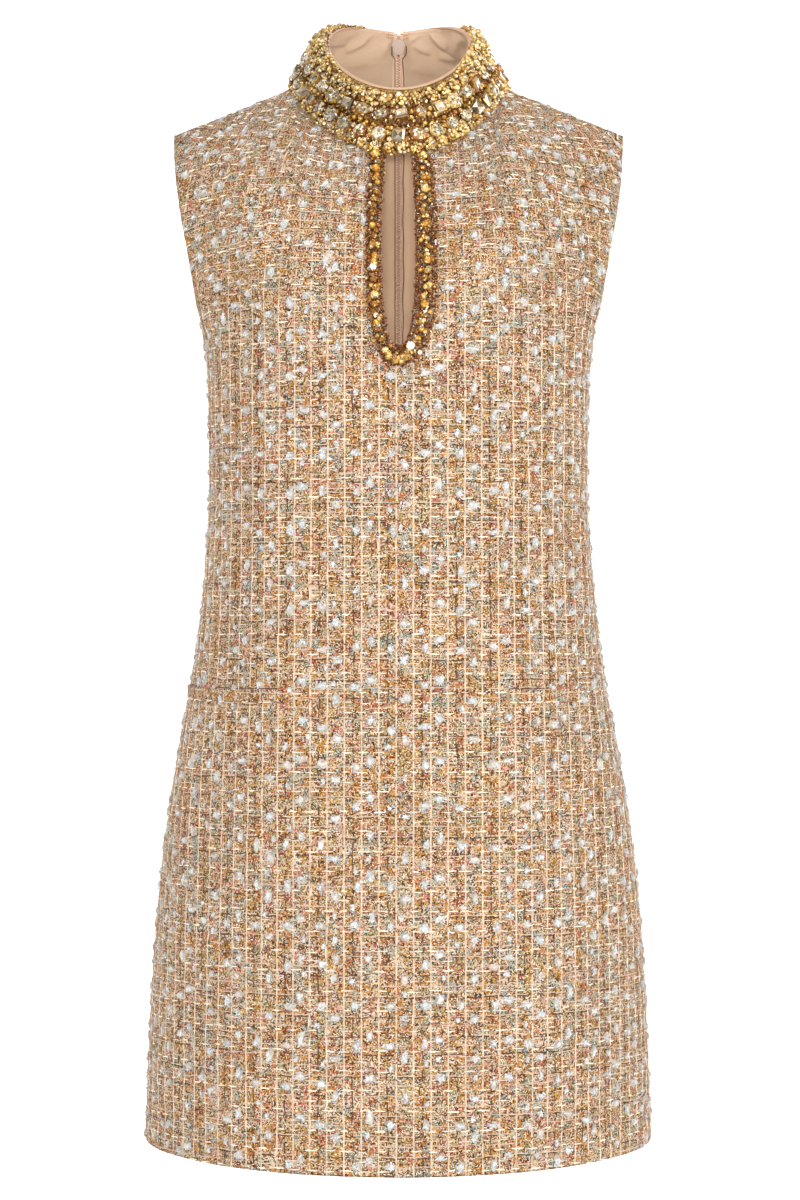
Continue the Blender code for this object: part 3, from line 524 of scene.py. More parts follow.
# ------------------------------------------------------------------ material nodes
class Net:
    """A short way to write a material's nodes."""

    def __init__(self, name, roughness=0.8, metallic=0.0, specular=0.5, sheen=0.0, coat=0.0, sheen_roughness=0.4,
                 ior=1.5, anisotropic=0.0, tone=1.0):
        self.tone = tone
        self.material = bpy.data.materials.new(name)
        self.material.use_nodes = True
        self.tree = self.material.node_tree
        self.shader = self.tree.nodes["Principled BSDF"]
        for socket, value in (("Roughness", roughness), ("Metallic", metallic), ("Specular IOR Level", specular),
                              ("Sheen Weight", sheen), ("Sheen Roughness", sheen_roughness), ("Coat Weight", coat),
                              ("IOR", ior), ("Anisotropic", anisotropic)):
            self.shader.inputs[socket].default_value = value

    def put(self, socket, value):
        if isinstance(value, Val):
            self.tree.links.new(value.socket, socket)
        elif isinstance(value, bpy.types.NodeSocket):
            self.tree.links.new(value, socket)
        else:
            socket.default_value = value

    def math(self, op, *args):
        node = self.tree.nodes.new("ShaderNodeMath")
        node.operation = op
        for socket, value in zip(node.inputs, args):
            self.put(socket, value)
        return Val(self, node.outputs[0])

    def vector(self, x, y, z=0.0):
        node = self.tree.nodes.new("ShaderNodeCombineXYZ")
        for socket, value in zip(node.inputs, (x, y, z)):
            self.put(socket, value)
        return Val(self, node.outputs[0])

    def cloth(self):
        """The flat cloth's place in millimetres."""
        uv = self.tree.nodes.new("ShaderNodeUVMap")
        uv.uv_map = "cloth"
        split = self.tree.nodes.new("ShaderNodeSeparateXYZ")
        self.tree.links.new(uv.outputs[0], split.inputs[0])
        return Val(self, split.outputs[0]) * 1000, Val(self, split.outputs[1]) * 1000

    def place(self):
        """The object's place in millimetres, for pieces with no cloth map."""
        coord = self.tree.nodes.new("ShaderNodeTexCoord")
        scale = self.tree.nodes.new("ShaderNodeVectorMath")
        scale.operation = "SCALE"
        self.tree.links.new(coord.outputs["Object"], scale.inputs[0])
        scale.inputs["Scale"].default_value = 1000
        return Val(self, scale.outputs[0])

    def attribute(self, name):
        node = self.tree.nodes.new("ShaderNodeAttribute")
        node.attribute_name = name
        return Val(self, node.outputs["Color"])

    def noise(self, vector, scale=1.0, detail=0.0, roughness=0.5, dims="3D"):
        node = self.tree.nodes.new("ShaderNodeTexNoise")
        node.noise_dimensions = dims
        self.put(node.inputs["Vector"], vector)
        node.inputs["Scale"].default_value = scale
        node.inputs["Detail"].default_value = detail
        node.inputs["Roughness"].default_value = roughness
        return Val(self, node.outputs[0])

    def white(self, vector):
        node = self.tree.nodes.new("ShaderNodeTexWhiteNoise")
        node.noise_dimensions = "3D"
        self.put(node.inputs["Vector"], vector)
        return Val(self, node.outputs[0])

    def palette(self, value, colours, weights):
        """Steps through colours, each as often as its weight."""
        node = self.tree.nodes.new("ShaderNodeValToRGB")
        ramp = node.color_ramp
        ramp.interpolation = "CONSTANT"
        edges = np.concatenate(([0], np.cumsum(weights)[:-1])) / np.sum(weights)
        while len(ramp.elements) < len(colours):
            ramp.elements.new(0.5)
        for element, edge, colour in zip(ramp.elements, edges, colours):
            element.position = float(edge)
        for element, colour in zip(ramp.elements, colours):
            element.color = (*(linear(colour) * self.tone), 1)
        self.put(node.inputs[0], value)
        return Val(self, node.outputs[0])

    def mix(self, factor, a, b, blend="MIX"):
        node = self.tree.nodes.new("ShaderNodeMix")
        node.data_type = "RGBA"
        node.blend_type = blend
        node.clamp_factor = True
        self.put(node.inputs[0], factor)
        for socket, value in ((node.inputs[6], a), (node.inputs[7], b)):
            if isinstance(value, Val):
                self.put(socket, value)
            else:
                socket.default_value = (*(linear(value) * (self.tone if blend == "MIX" else 1.0)), 1)
        return Val(self, node.outputs[2])

    def step(self, value, low, high):
        """0 below low, 1 above high, smooth between."""
        node = self.tree.nodes.new("ShaderNodeMapRange")
        node.interpolation_type = "SMOOTHSTEP"
        self.put(node.inputs[0], value)
        node.inputs[1].default_value = low
        node.inputs[2].default_value = high
        node.inputs[3].default_value = 0
        node.inputs[4].default_value = 1
        return Val(self, node.outputs[0])

    def colour(self, value):
        self.put(self.shader.inputs["Base Color"], value)

    def roughness(self, value):
        self.put(self.shader.inputs["Roughness"], value)

    def bump(self, height, distance, strength=1.0):
        node = self.tree.nodes.new("ShaderNodeBump")
        node.inputs["Distance"].default_value = distance
        node.inputs["Strength"].default_value = strength
        self.put(node.inputs["Height"], height)
        self.tree.links.new(node.outputs[0], self.shader.inputs["Normal"])


class Val:
    def __init__(self, net, socket):
        self.net, self.socket = net, socket

    def __add__(self, o):
        return self.net.math("ADD", self, o)

    def __radd__(self, o):
        return self.net.math("ADD", o, self)

    def __sub__(self, o):
        return self.net.math("SUBTRACT", self, o)

    def __rsub__(self, o):
        return self.net.math("SUBTRACT", o, self)

    def __mul__(self, o):
        return self.net.math("MULTIPLY", self, o)

    def __rmul__(self, o):
        return self.net.math("MULTIPLY", o, self)

    def __truediv__(self, o):
        return self.net.math("DIVIDE", self, o)

    def floor(self):
        return self.net.math("FLOOR", self)

    def fract(self):
        return self.net.math("FRACT", self)

    def abs(self):
        return self.net.math("ABSOLUTE", self)

    def less(self, o):
        return self.net.math("LESS_THAN", self, o)

    def more(self, o):
        return self.net.math("GREATER_THAN", self, o)

    def min(self, o):
        return self.net.math("MINIMUM", self, o)

    def max(self, o):
        return self.net.math("MAXIMUM", self, o)


# ------------------------------------------------------------------ materials
OCHRES = (((210, 174, 98), 17), ((196, 150, 62), 16), ((230, 198, 130), 14), ((172, 130, 58), 13),
          ((242, 218, 166), 11), ((192, 120, 68), 5), ((138, 104, 54), 8), ((88, 62, 38), 8), ((218, 164, 60), 11))
CREAMS = (((236, 222, 194), 16), ((216, 198, 162), 17), ((192, 176, 140), 15), ((208, 172, 114), 12),
          ((176, 160, 124), 10), ((250, 244, 230), 10), ((166, 180, 170), 8), ((214, 160, 142), 5),
          ((128, 108, 82), 7), ((88, 72, 54), 5))
PATCHES = (((214, 150, 48), 22), ((192, 98, 66), 9), ((222, 152, 138), 10), ((246, 232, 206), 13),
           ((178, 170, 110), 13), ((144, 182, 178), 13), ((130, 92, 50), 8), ((226, 178, 90), 12))
TONE = np.array((0.668, 0.612, 0.600))     # how much of the display colour the tweed reflects under these lights


def tweed_material(name):
    net = Net(name, roughness=0.93, specular=0.10, sheen=0.05, sheen_roughness=0.6, tone=TONE)
    u0, v0 = net.cloth()

    def wander(scale, seed):
        return net.noise(net.vector(u0 * scale, v0 * scale, seed)) - 0.5
    u = u0 + wander(0.05, 1.3) * 2.6 + wander(0.35, 4.7) * 1.0
    v = v0 + wander(0.05, 9.1) * 2.6 + wander(0.35, 6.2) * 1.0
    # warp threads down and wefts across, each coming over the other for a short run in its own colour
    i, j2 = (u / 0.82).floor(), (v / 0.80).floor()
    warp_seed, weft_seed = net.white(net.vector(i, 3.5, 3)), net.white(net.vector(7.5, j2, 5))
    j, i2 = (v / 2.6 + warp_seed * 31).floor(), (u / 2.3 + weft_seed * 29).floor()
    warp_cell, weft_cell = net.vector(i, j, 1.5), net.vector(i2, j2, 2.5)
    over = net.white(net.vector(i, j, 3.5)).less(0.50)
    pick = net.math("ADD", net.white(warp_cell) * over, net.white(weft_cell) * (1 - over))
    speck = net.white(net.vector(i, j2, 9.5))
    upper = net.step(v, -215, -150)

    # alternate columns between the cream yarns are ochre, with a dark thread down the middle
    from_dark = (((u + 8.1) / 26.0 + 0.5).fract() - 0.5).abs() * 26.0
    dark_column = (1 - net.step(from_dark, 3.5, 9.5)) * (1 - upper * 0.5)
    blend = net.white(net.vector(i, j2, 4.5)).less(dark_column * 0.64 + 0.28 + upper * 0.30)
    colour = net.mix(blend, net.palette(pick, *zip(*CREAMS)), net.palette(pick, *zip(*OCHRES)))

    # neighbouring threads dyed alike make small blocks of colour
    group = ((u + 1.6) / 6.5).floor()
    block = net.vector(group, (v / 7.45 + net.white(net.vector(group, 1.5, 31.5)) * 17).floor(), 32.5)
    colour = net.mix(net.white(net.vector(i, j2, 33.5)).less(0.62) * 0.86, colour,
                     net.palette(net.white(block), *zip(*PATCHES)))
    shelf = (v / 2.8).floor()
    strip = net.vector((u / 6.6 + net.white(net.vector(shelf, 4.5, 34.5)) * 17).floor(), shelf, 35.5)
    colour = net.mix(net.white(net.vector(i, j2, 36.5)).less(0.36) * 0.86, colour,
                     net.palette(net.white(strip), *zip(*PATCHES)))

    def patch(seed, scale, low, high, rgb, share, stretch=1.0):
        nonlocal colour
        zone = net.step(net.noise(net.vector(u * (scale * stretch), v * scale, seed), detail=1.0), low, high)
        hit = zone * net.white(net.vector(i, j2, seed)).less(share)
        colour = net.mix(hit, colour, rgb)
    patch(21.5, 0.075, 0.58, 0.68, (196, 104, 62), 0.42, 1.3)
    patch(45.5, 0.075, 0.55, 0.67, (212, 146, 42), 0.52, 1.3)
    patch(33.5, 0.110, 0.60, 0.69, (198, 98, 84), 0.54)
    patch(57.5, 0.090, 0.60, 0.69, (148, 180, 174), 0.58)
    patch(69.5, 0.100, 0.63, 0.71, (230, 200, 188), 0.50)
    patch(81.5, 0.085, 0.62, 0.70, (178, 168, 120), 0.50)

    colour = net.mix(net.white(net.vector(i, j2, 61.5)) * 0.24, colour, (212, 174, 122))
    colour = net.mix(speck.less(0.225) * 0.95, colour, (70, 42, 22))
    colour = net.mix(speck.more(0.845) * 0.95, colour, (255, 246, 222))

    # dark threads: a dotted one down each ochre column, and broken ones across
    warp_break = net.white(net.vector(((u + 8.1) / 26.0 + 0.5).floor(), (v / 2.8).floor(), 12.5)).more(0.40)
    dark_warp = (from_dark.less(0.60)) * warp_break * (1 - upper * 0.5)
    colour = net.mix(dark_warp * 0.82, colour, (92, 56, 28))
    band = (v / 14.9).floor()
    centre = net.white(net.vector(band, 8.5, 14.5)) * 2.5 + 9.5
    weft_off = (v - band * 14.9 - centre).abs()
    weft_break = net.white(net.vector((u / 5.2 + band * 3.3).floor(), band, 15.5)).more(0.46)
    colour = net.mix(weft_off.less(0.50) * weft_break * 0.88, colour, (92, 56, 28))

    # cream yarns down, and fine cream threads across them
    cream_at = (u0 + 1.6) / 13.0 + 0.5
    k = cream_at.floor()
    du = (cream_at.fract() - 0.5) * 13.0
    dash = (v / 12.4 + net.white(net.vector(k, 2.5, 16.5)) * 7).fract().less(0.90)
    fray = net.white(net.vector(k, (v / 1.6).floor(), 17.5)).more(0.08)
    colour = net.mix(du.abs().less(0.62) * dash * fray * (1 - upper * 0.5), colour, (246, 228, 200))
    line = (v / 7.45).fract() - 0.5
    long_run = net.white(net.vector((u / 11).floor(), (v / 7.45).floor(), 20.5)).more(0.46)
    colour = net.mix((line.abs() * 7.45).less(0.38) * long_run * 0.85, colour, (246, 230, 206))
    soft = net.noise(net.vector(u0 * 0.02, v0 * 0.02, 2.2), detail=1.0)
    colour = net.mix(net.step(soft, 0.3, 0.7) * 0.12, colour, (172, 134, 96), blend="MULTIPLY")
    net.colour(colour)

    warp_round = ((u / 0.82).fract() - 0.5).abs() * 2
    weft_round = ((v / 0.80).fract() - 0.5).abs() * 2
    ridge = (1 - warp_round * warp_round) * over + (1 - weft_round * weft_round) * (1 - over)
    height = ridge * 0.8 + speck * 0.9 + du.abs().less(0.8) * dash * 0.6 - dark_warp * 0.6
    net.bump(height + net.noise(net.vector(u0 * 1.2, v0 * 1.2, 5.5), detail=2.0) * 0.8, 0.0007, 1.0)
    return net.material


def yarn_material(name, roughness=0.9, sheen=0.25):
    net = Net(name, roughness=roughness, specular=0.15, sheen=sheen, sheen_roughness=0.5)
    p = net.place()
    grain = net.noise(p, scale=0.9, detail=2.0)
    net.colour(net.mix(net.step(grain, 0.3, 0.75) * 0.32, net.attribute("tint"), (188, 158, 128), blend="MULTIPLY"))
    net.bump(net.noise(p, scale=1.6, detail=2.0), 0.0003, 0.7)
    return net.material


def lining_material(name, rgb, dark, weave=0.35):
    net = Net(name, roughness=0.46, specular=0.35, sheen=0.25, sheen_roughness=0.35)
    u, v = net.cloth()
    threads = ((u / 0.34).fract() - 0.5).abs() * ((v / 0.34).fract() - 0.5).abs() * 4
    cloud = net.noise(net.vector(u * 0.03, v * 0.03, 4.0), detail=2.0)
    slub = net.noise(net.vector(u * 0.15, v * 1.6, 8.0), detail=1.0)
    base = net.mix(net.step(cloud, 0.3, 0.7) * 0.45, rgb, dark)
    base = net.mix(net.step(slub, 0.55, 0.75) * 0.22, base, dark)
    net.colour(net.mix(threads * weave, base, dark))
    net.roughness(net.step(slub, 0.2, 0.8) * 0.16 + 0.40)
    net.bump(threads + slub * 0.5, 0.00012, 0.6)
    return net.material


def bead_material(name, roughness, metallic, specular=0.6, coat=0.0, grime=(120, 70, 20), grime_share=0.25, ior=1.5):
    net = Net(name, roughness=roughness, metallic=metallic, specular=specular, coat=coat, ior=ior)
    p = net.place()
    cloud = net.noise(p, scale=0.55, detail=2.0)
    net.colour(net.mix(net.step(cloud, 0.45, 0.8) * grime_share, net.attribute("tint"), grime))
    net.roughness(net.step(net.noise(p, scale=1.3, detail=1.0), 0.3, 0.8) * roughness * 0.8 + roughness * 0.6)
    net.bump(net.noise(p, scale=2.2, detail=1.0), 0.00008, 0.5)
    return net.material


def metal_material(name, rgb, worn, roughness, metallic, specular=0.5, coat=0.0):
    """Smooth metal or enamel: faint brushing, worn lighter or darker in places."""
    net = Net(name, roughness=roughness, metallic=metallic, specular=specular, coat=coat)
    p = net.place()
    wear = net.noise(p, scale=0.35, detail=3.0)
    fine = net.noise(p, scale=3.5, detail=1.0)
    net.colour(net.mix(net.step(wear, 0.45, 0.75) * 0.35, rgb, worn))
    net.roughness(net.step(fine, 0.3, 0.7) * 0.14 + roughness)
    net.bump(fine + wear, 0.00006, 0.4)
    return net.material


TWEED_CLOTH = tweed_material("tweed_cloth")
YARN = yarn_material("tweed_yarn")
LINING_CLOTH = lining_material("lining_cloth", (182, 154, 127), (154, 124, 99))
# the body's lining: the same lining cloth as the collar's, made lighter to make up for the shade inside the keyhole
# (painted light)
LINING_BODY_LIGHTENED = lining_material("lining_body_cloth_lightened", (214, 181, 149), (190, 156, 126))
PIPING = lining_material("piping_cloth", (178, 142, 113), (148, 112, 86))
KEY_PIPING = lining_material("keyhole_piping_cloth", (150, 112, 84), (116, 80, 56))
KEY_SHADE = lining_material("keyhole_piping_painted_shadow", (92, 60, 42), (66, 42, 30))
ZIP_TAPE = lining_material("zip_tape_cloth", (228, 196, 168), (204, 170, 142), weave=0.3)
GOLD = bead_material("gold_bead", 0.26, 0.55, specular=0.45, grime=(128, 80, 28), grime_share=0.4)
AMBER = bead_material("amber_bead", 0.22, 0.40, specular=0.3, coat=0.08, grime=(74, 38, 14), grime_share=0.45)
CRYSTAL = bead_material("crystal_stone", 0.10, 0.20, specular=0.6, coat=0.35, grime=(176, 160, 128), grime_share=0.2)
COIL_NYLON = metal_material("zip_coil_nylon", (236, 200, 172), (204, 166, 138), 0.6, 0.0)
ENAMEL = metal_material("zip_enamel", (150, 126, 111), (128, 104, 90), 0.38, 0.10, coat=0.2)
WRAPPED = metal_material("hook_enamel", (222, 190, 164), (188, 152, 126), 0.45, 0.1)
THREAD = yarn_material("sewing_thread", 0.7)


# ------------------------------------------------------------------ tweed panels
COLUMNS = 76
SPACING = 0.0032
back_opening = lambda z: np.full(np.shape(z), SEAM / 2)
FRONT_SHIFT, BACK_SHIFT = 0.0, 0.740
halves = {
    ("front", 1): Cloth(FRONT, 1, COLUMNS, SPACING, keyhole, FRONT_SHIFT),
    ("front", -1): Cloth(FRONT, -1, COLUMNS, SPACING, keyhole, FRONT_SHIFT),
    ("back", 1): Cloth(BACK, 1, COLUMNS, SPACING, back_opening, BACK_SHIFT),
    ("back", -1): Cloth(BACK, -1, COLUMNS, SPACING, back_opening, BACK_SHIFT),
}


def folded_hem(cloth):
    """Rows of a half from the turned-up hem inside, round its edge and up the outside."""
    k = int(np.argmax(cloth.P[:, 0, 2] > LINING_HEM + 0.004))
    pull = np.linspace(0, 0.0003, k)[:, None, None]
    inside = cloth.back_face[1:k + 1][::-1]
    V = np.concatenate(((2 * cloth.V[0] - cloth.V[1:k + 1])[::-1], cloth.V))
    U = np.concatenate((cloth.U[1:k + 1][::-1], cloth.U))
    inner = np.concatenate((inside, cloth.back_face))
    edge = (cloth.top[0] + cloth.back_face[0]) / 2 - np.array((0, 0, 0.0006))
    top = np.concatenate((inside, cloth.top))
    top[k - 1] = cloth.back_face[0] * 0.85 + cloth.top[0] * 0.15 - np.array((0, 0, 0.0002))
    top[k] = cloth.top[0] * 0.75 + cloth.back_face[0] * 0.25 - np.array((0, 0, 0.0006))
    inner[k] = top[k]
    inner[k - 1] = top[k - 1]
    return top, inner, cloth.cloth_u(U), V


def panel_piece(name, parts):
    """A tweed panel from its halves, the second sharing the first's middle edge where the panel is whole."""
    verts, quads, uvs, inner, base = [], [], [], [], 0
    first_index = None
    for cloth in parts:
        top, under, u, v = folded_hem(cloth)
        rows, columns = u.shape
        index = np.arange(rows * columns).reshape(rows, columns) + base
        flip = (cloth.side == BACK) != (cloth.sign < 0)
        if first_index is not None:
            whole = np.abs(top[:, 0, 0]) < 1e-6
            index[whole, 0] = first_index[whole, 0]
        else:
            first_index = index.copy()
        quads.append(grid_faces(rows, columns, flip, index))
        verts.append(top.reshape(-1, 3))
        inner.append(under.reshape(-1, 3))
        uvs.append(np.stack((u, v), -1).reshape(-1, 2))
        base += rows * columns
    verts, quads, uvs, inner = (np.concatenate(a) for a in (verts, quads, uvs, inner))
    all_verts, all_quads, used = border_strip(quads, verts, inner)
    solid = np.linalg.norm(all_verts[all_quads[:, 0]] - all_verts[all_quads[:, 3]], axis=1) > 1e-5
    solid[:len(quads)] = True
    all_quads = all_quads[solid]
    uvs = np.concatenate((uvs, uvs[used]))
    keep = np.zeros(len(all_verts), bool)
    keep[all_quads.ravel()] = True
    renumber = np.cumsum(keep) - 1
    return mesh_piece(name, all_verts[keep], renumber[all_quads], TWEED_CLOTH, uvs=uvs[keep])


def flat_size(parts):
    """Width and length of the whole cut, and its area, from the flat cloth's own measures."""
    u = np.concatenate([c.cloth_u(c.U).ravel() for c in parts])
    v = np.concatenate([c.V.ravel() for c in parts])
    area = 0.0
    for c in parts:
        du = np.diff(c.U, axis=1)
        dv = np.diff(c.V, axis=0)
        area += float((0.25 * (du[:-1] + du[1:]) * (dv[:, :-1] + dv[:, 1:])).sum())
    hem_turn = 0.028
    width, length = float(u.max() - u.min()), float(v.max() - v.min() + hem_turn)
    return (width, length), min(area + width * hem_turn, width * length)


front = panel_piece("front_tweed", [halves["front", 1], halves["front", -1]])
on_dress(front, "tweed", "front_panel")
back_left = panel_piece("back_tweed_left", [halves["back", 1]])
on_dress(back_left, "tweed", "back_panel_left")
back_right = panel_piece("back_tweed_right", [halves["back", -1]])
on_dress(back_right, "tweed", "back_panel_right")


# ------------------------------------------------------------------ yarns, slubs and loose fibres on the tweed
def cloth_items(cloth, rng):
    """(vertices (k, n, 3), faces, tints (k, f, 3)) of each kind of small thing that lies on a half panel."""
    made = []
    lo_u, hi_u = sorted((cloth.cloth_u(0.0), cloth.cloth_u(cloth.U.max())))
    lo_v, hi_v = cloth.V.min(), cloth.V.max()

    def beaded(at):
        """Whether points of the front lie under the keyhole's border."""
        x, z = np.abs(at[:, 0]), at[:, 2]
        reach = np.where(at[:, 0] > 0, 0.0135, 0.0098)
        beside = (x < keyhole(np.maximum(z, -0.2150)) + reach) & (z > -0.2150)
        return beside | (np.hypot(x, (z + 0.2150) * 1.15) < 0.0150)

    def keep(u, v, h, faces, tints, tone=TONE):
        shape = u.shape
        at, good = cloth.place(u.ravel(), v.ravel(), h.ravel())
        if cloth.side == FRONT:
            good = good & ~beaded(at)
        good = good.reshape(shape).all(1)
        made.append((at.reshape(*shape, 3)[good], faces, tints[good] * tone))

    # cream yarns: dashes where they come over the others
    k = np.arange(math.floor(lo_u / CREAM_PITCH) - 1, math.ceil(hi_u / CREAM_PITCH) + 2)
    n = np.arange(int((hi_v - lo_v) / 0.0124) + 2)
    K, M = [a.ravel() for a in np.meshgrid(k, n, indexing="ij")]
    column_phase = np.random.default_rng(5).random(4000)[(K + 1000).astype(int)]
    u0 = K * CREAM_PITCH + CREAM_PHASE + rng.normal(0, 0.0004, len(K))
    v0 = lo_v + (M + column_phase) * 0.0124
    upper = smoothstep((v0 + 0.205) / 0.05)
    some = (rng.random(len(K)) > 0.06 + 0.36 * upper) & (u0 > lo_u) & (u0 < hi_u)
    u0, v0, upper = u0[some], v0[some], upper[some]
    count = len(u0)
    length = rng.uniform(0.0085, 0.0118, count) * (1 - 0.25 * upper)
    t = np.linspace(0, 1, 4)
    width = rng.uniform(0.00042, 0.00064, count)[:, None] * np.array((0.75, 1.05, 1.05, 0.65))[None]
    lean = rng.normal(0, 0.00022, (count, 4))
    a = np.array((-1, 0, 1))
    u = u0[:, None, None] + lean[:, :, None] + a[None, None] * width[:, :, None]
    v = v0[:, None, None] + length[:, None, None] * t[None, :, None] + 0 * u
    h = np.where(a == 0, 1.0, 0.0)[None, None] * 0.00060 * np.sin(math.pi * np.clip(t, 0.12, 0.88))[None, :, None] \
        - 0.00015 + 0 * u
    faces = grid_faces(4, 3)
    base = linear((250, 234, 210))[None] * rng.uniform(0.80, 1.05, (count, 1))
    warm = rng.random(count) < 0.12
    base[warm] = linear((240, 204, 172)) * rng.uniform(0.9, 1.0, (warm.sum(), 1))
    tints = base[:, None] * rng.uniform(0.9, 1.05, (count, len(faces), 1))
    keep(u.reshape(count, -1), v.reshape(count, -1), h.reshape(count, -1), faces, np.clip(tints, 0, 1))

    # slubs: knots of white fibre in staggered columns
    spots = []
    for centre, stagger, start, chance in ((0.0049, 0.5, 0.0, 0.95), (-0.0057, 0.0, 0.31, 0.66)):
        step = 2 * CREAM_PITCH
        for column in range(math.floor((lo_u - centre) / step), math.ceil((hi_u - centre) / step) + 1):
            phase = start + np.random.default_rng(700 + column).random() * 0.05 + stagger * (column % 2)
            for row in range(-1, int((hi_v - lo_v) / REPEAT) + 2):
                v_at = -0.9 + (row + phase) * REPEAT
                high = float(smoothstep((v_at + 0.205) / 0.05))
                if rng.random() < chance:
                    spots.append((centre + column * step + rng.normal(0, 0.0005 + 0.0020 * high),
                                  v_at + rng.normal(0, 0.0009 + 0.003 * high), rng.random()))
                if rng.random() < 0.30 + 0.12 * high:
                    spots.append((centre + column * step + rng.normal(0, 0.0020),
                                  v_at + 0.5 * REPEAT + rng.normal(0, 0.0018), -rng.random()))
    spots = np.array(spots)
    spots = spots[(spots[:, 0] > lo_u) & (spots[:, 0] < hi_u)]
    count = len(spots)
    kind = spots[:, 2]
    small = kind < 0
    wide = np.where(kind > 0.45, rng.uniform(0.0038, 0.0050, count), rng.uniform(0.0026, 0.0034, count))
    tall = np.where(kind > 0.45, rng.uniform(0.0026, 0.0036, count), rng.uniform(0.0036, 0.0054, count))
    wide, tall = np.where(small, wide * 0.60, wide), np.where(small, tall * 0.55, tall)
    side = 5
    g = np.linspace(-1, 1, side)
    B, A = np.meshgrid(g, g, indexing="ij")
    A, B = A.ravel(), B.ravel()
    r = np.maximum(np.abs(A), np.abs(B))
    squash = np.where(r > 0, r / np.maximum(np.hypot(A, B), 1e-9), 1)
    A, B = A * (0.4 + 0.6 * squash), B * (0.4 + 0.6 * squash)
    rim = (r > 0.99)
    ragged = 1 + rng.normal(0, 0.22, (count, len(A))) * rim[None]
    jit = rng.normal(0, 0.13, (2, count, len(A)))
    u = spots[:, :1] + (A[None] * ragged + jit[0]) * (wide * 0.98)[:, None]
    v = spots[:, 1:2] + (B[None] * ragged + jit[1]) * (tall * 0.98)[:, None]
    dome = np.maximum(1 - (A ** 2 + B ** 2), 0) ** 0.5
    h = 0.0001 + (dome[None] * 0.0012 + rng.uniform(0, 0.0006, (count, len(A))) * (r < 0.9)[None]) \
        * np.where(small, 0.6, 1.0)[:, None] - 0.0004 * rim[None]
    faces = grid_faces(side, side)
    white = linear((236, 236, 234))[None] * rng.uniform(0.62, 1.06, (count, 1))
    shift = rng.random(count)
    white[shift < 0.12] = linear((230, 210, 198))
    white[shift > 0.76] = linear((214, 222, 224))
    tints = white[:, None] * rng.uniform(0.78, 1.06, (count, len(faces), 1))
    edge = np.array([max(abs(k % (side - 1) - 1.5), abs(k // (side - 1) - 1.5)) > 1 for k in range(len(faces))])
    share = edge[None, :, None] * rng.uniform(0.30, 1.0, (count, len(faces), 1))
    tints = tints * (1 - share) + share * linear((186, 178, 162)) * rng.uniform(0.8, 1.1, (count, len(faces), 1))
    keep(u, v, h, faces, np.clip(tints, 0, 1), 0.62)
    # the slubs' flecks: little tilted scraps of fibre heaped over and round the knot
    front = cloth.side == FRONT
    each = 17 if front else 7
    pick = np.repeat(np.arange(count), each)
    n = len(pick)
    angle, reach = rng.uniform(0, 2 * math.pi, n), np.sqrt(rng.random(n)) * rng.uniform(0.5, 1.36, n)
    cu = spots[pick, 0] + np.cos(angle) * reach * wide[pick]
    cv = spots[pick, 1] + np.sin(angle) * reach * tall[pick]
    turn = rng.uniform(0, math.pi, n)
    a1, b1 = rng.uniform(0.00027, 0.00052, n), rng.uniform(0.00045, 0.00102, n)
    ct, st = np.cos(turn), np.sin(turn)
    corner = np.array(((-1, -1), (1, -1), (1, 1), (-1, 1)))
    u = cu[:, None] + corner[None, :, 0] * (a1 * ct)[:, None] - corner[None, :, 1] * (b1 * st)[:, None]
    v = cv[:, None] + corner[None, :, 0] * (a1 * st)[:, None] + corner[None, :, 1] * (b1 * ct)[:, None]
    height = np.maximum(0.0014 * (1 - reach ** 2), 0.0001) * np.where(small[pick], 0.6, 1.0)
    h = height[:, None] + rng.uniform(0.0001, 0.0008, (n, 4))
    fleck = linear((236, 238, 242))[None] * rng.uniform(0.60, 1.06, (n, 1))
    shift = rng.random(n) / np.clip(0.6 + reach * 0.7, 0.6, 1.5)     # more of the cloth's colours towards the rim
    fleck[shift < 0.16] = linear((186, 200, 204))
    fleck[(shift > 0.16) & (shift < 0.27)] = linear((222, 192, 158))
    fleck[(shift > 0.27) & (shift < 0.32)] = linear((168, 136, 102))
    keep(u, v, h, [(0, 1, 2, 3)], np.clip(fleck[:, None], 0, 1), 0.70)

    # cream threads crossing the cream yarns, and stray ones elsewhere
    row_pitch = REPEAT / 4
    rows_v = np.arange(math.floor(lo_v / row_pitch), math.ceil(hi_v / row_pitch) + 1)
    K, M = [a.ravel() for a in np.meshgrid(k, rows_v, indexing="ij")]
    row_strong = M % 2 == 0
    keep_some = rng.random(len(K)) < np.where(row_strong, 0.88, 0.40)
    K, M, strong = K[keep_some], M[keep_some], row_strong[keep_some]
    count = len(K)
    high = smoothstep((M * row_pitch + 0.205) / 0.05)
    u0 = K * CREAM_PITCH + CREAM_PHASE + rng.uniform(-0.0008, 0.0036, count) + rng.normal(0, 0.002, count) * high
    v0 = M * row_pitch + rng.normal(0, 0.00035 + 0.0012 * high, count)
    half_long = np.where(strong, rng.uniform(0.0026, 0.0050, count), rng.uniform(0.0018, 0.0060, count))
    t = np.linspace(-1, 1, 4)
    w = np.where(strong, rng.uniform(0.00042, 0.00062, count), rng.uniform(0.00026, 0.00040, count))
    wave = rng.normal(0, 0.00016, (count, 4))
    a = np.array((-1, 0, 1))
    u = u0[:, None, None] + half_long[:, None, None] * t[None, :, None] + 0 * a[None, None]
    v = v0[:, None, None] + wave[:, :, None] + a[None, None] * w[:, None, None] * np.array((0.5, 1, 1, 0.5))[None, :, None]
    h = np.where(a == 0, 1.0, 0.0)[None, None] * 0.00070 * np.array((0.5, 1, 1, 0.5))[None, :, None] - 0.00008 + 0 * u
    faces = grid_faces(4, 3)
    base = linear((253, 242, 222))[None] * rng.uniform(0.84, 1.06, (count, 1))
    keep(u.reshape(count, -1), v.reshape(count, -1), h.reshape(count, -1), faces,
         np.clip(np.repeat(base[:, None], len(faces), 1), 0, 1), 0.80)

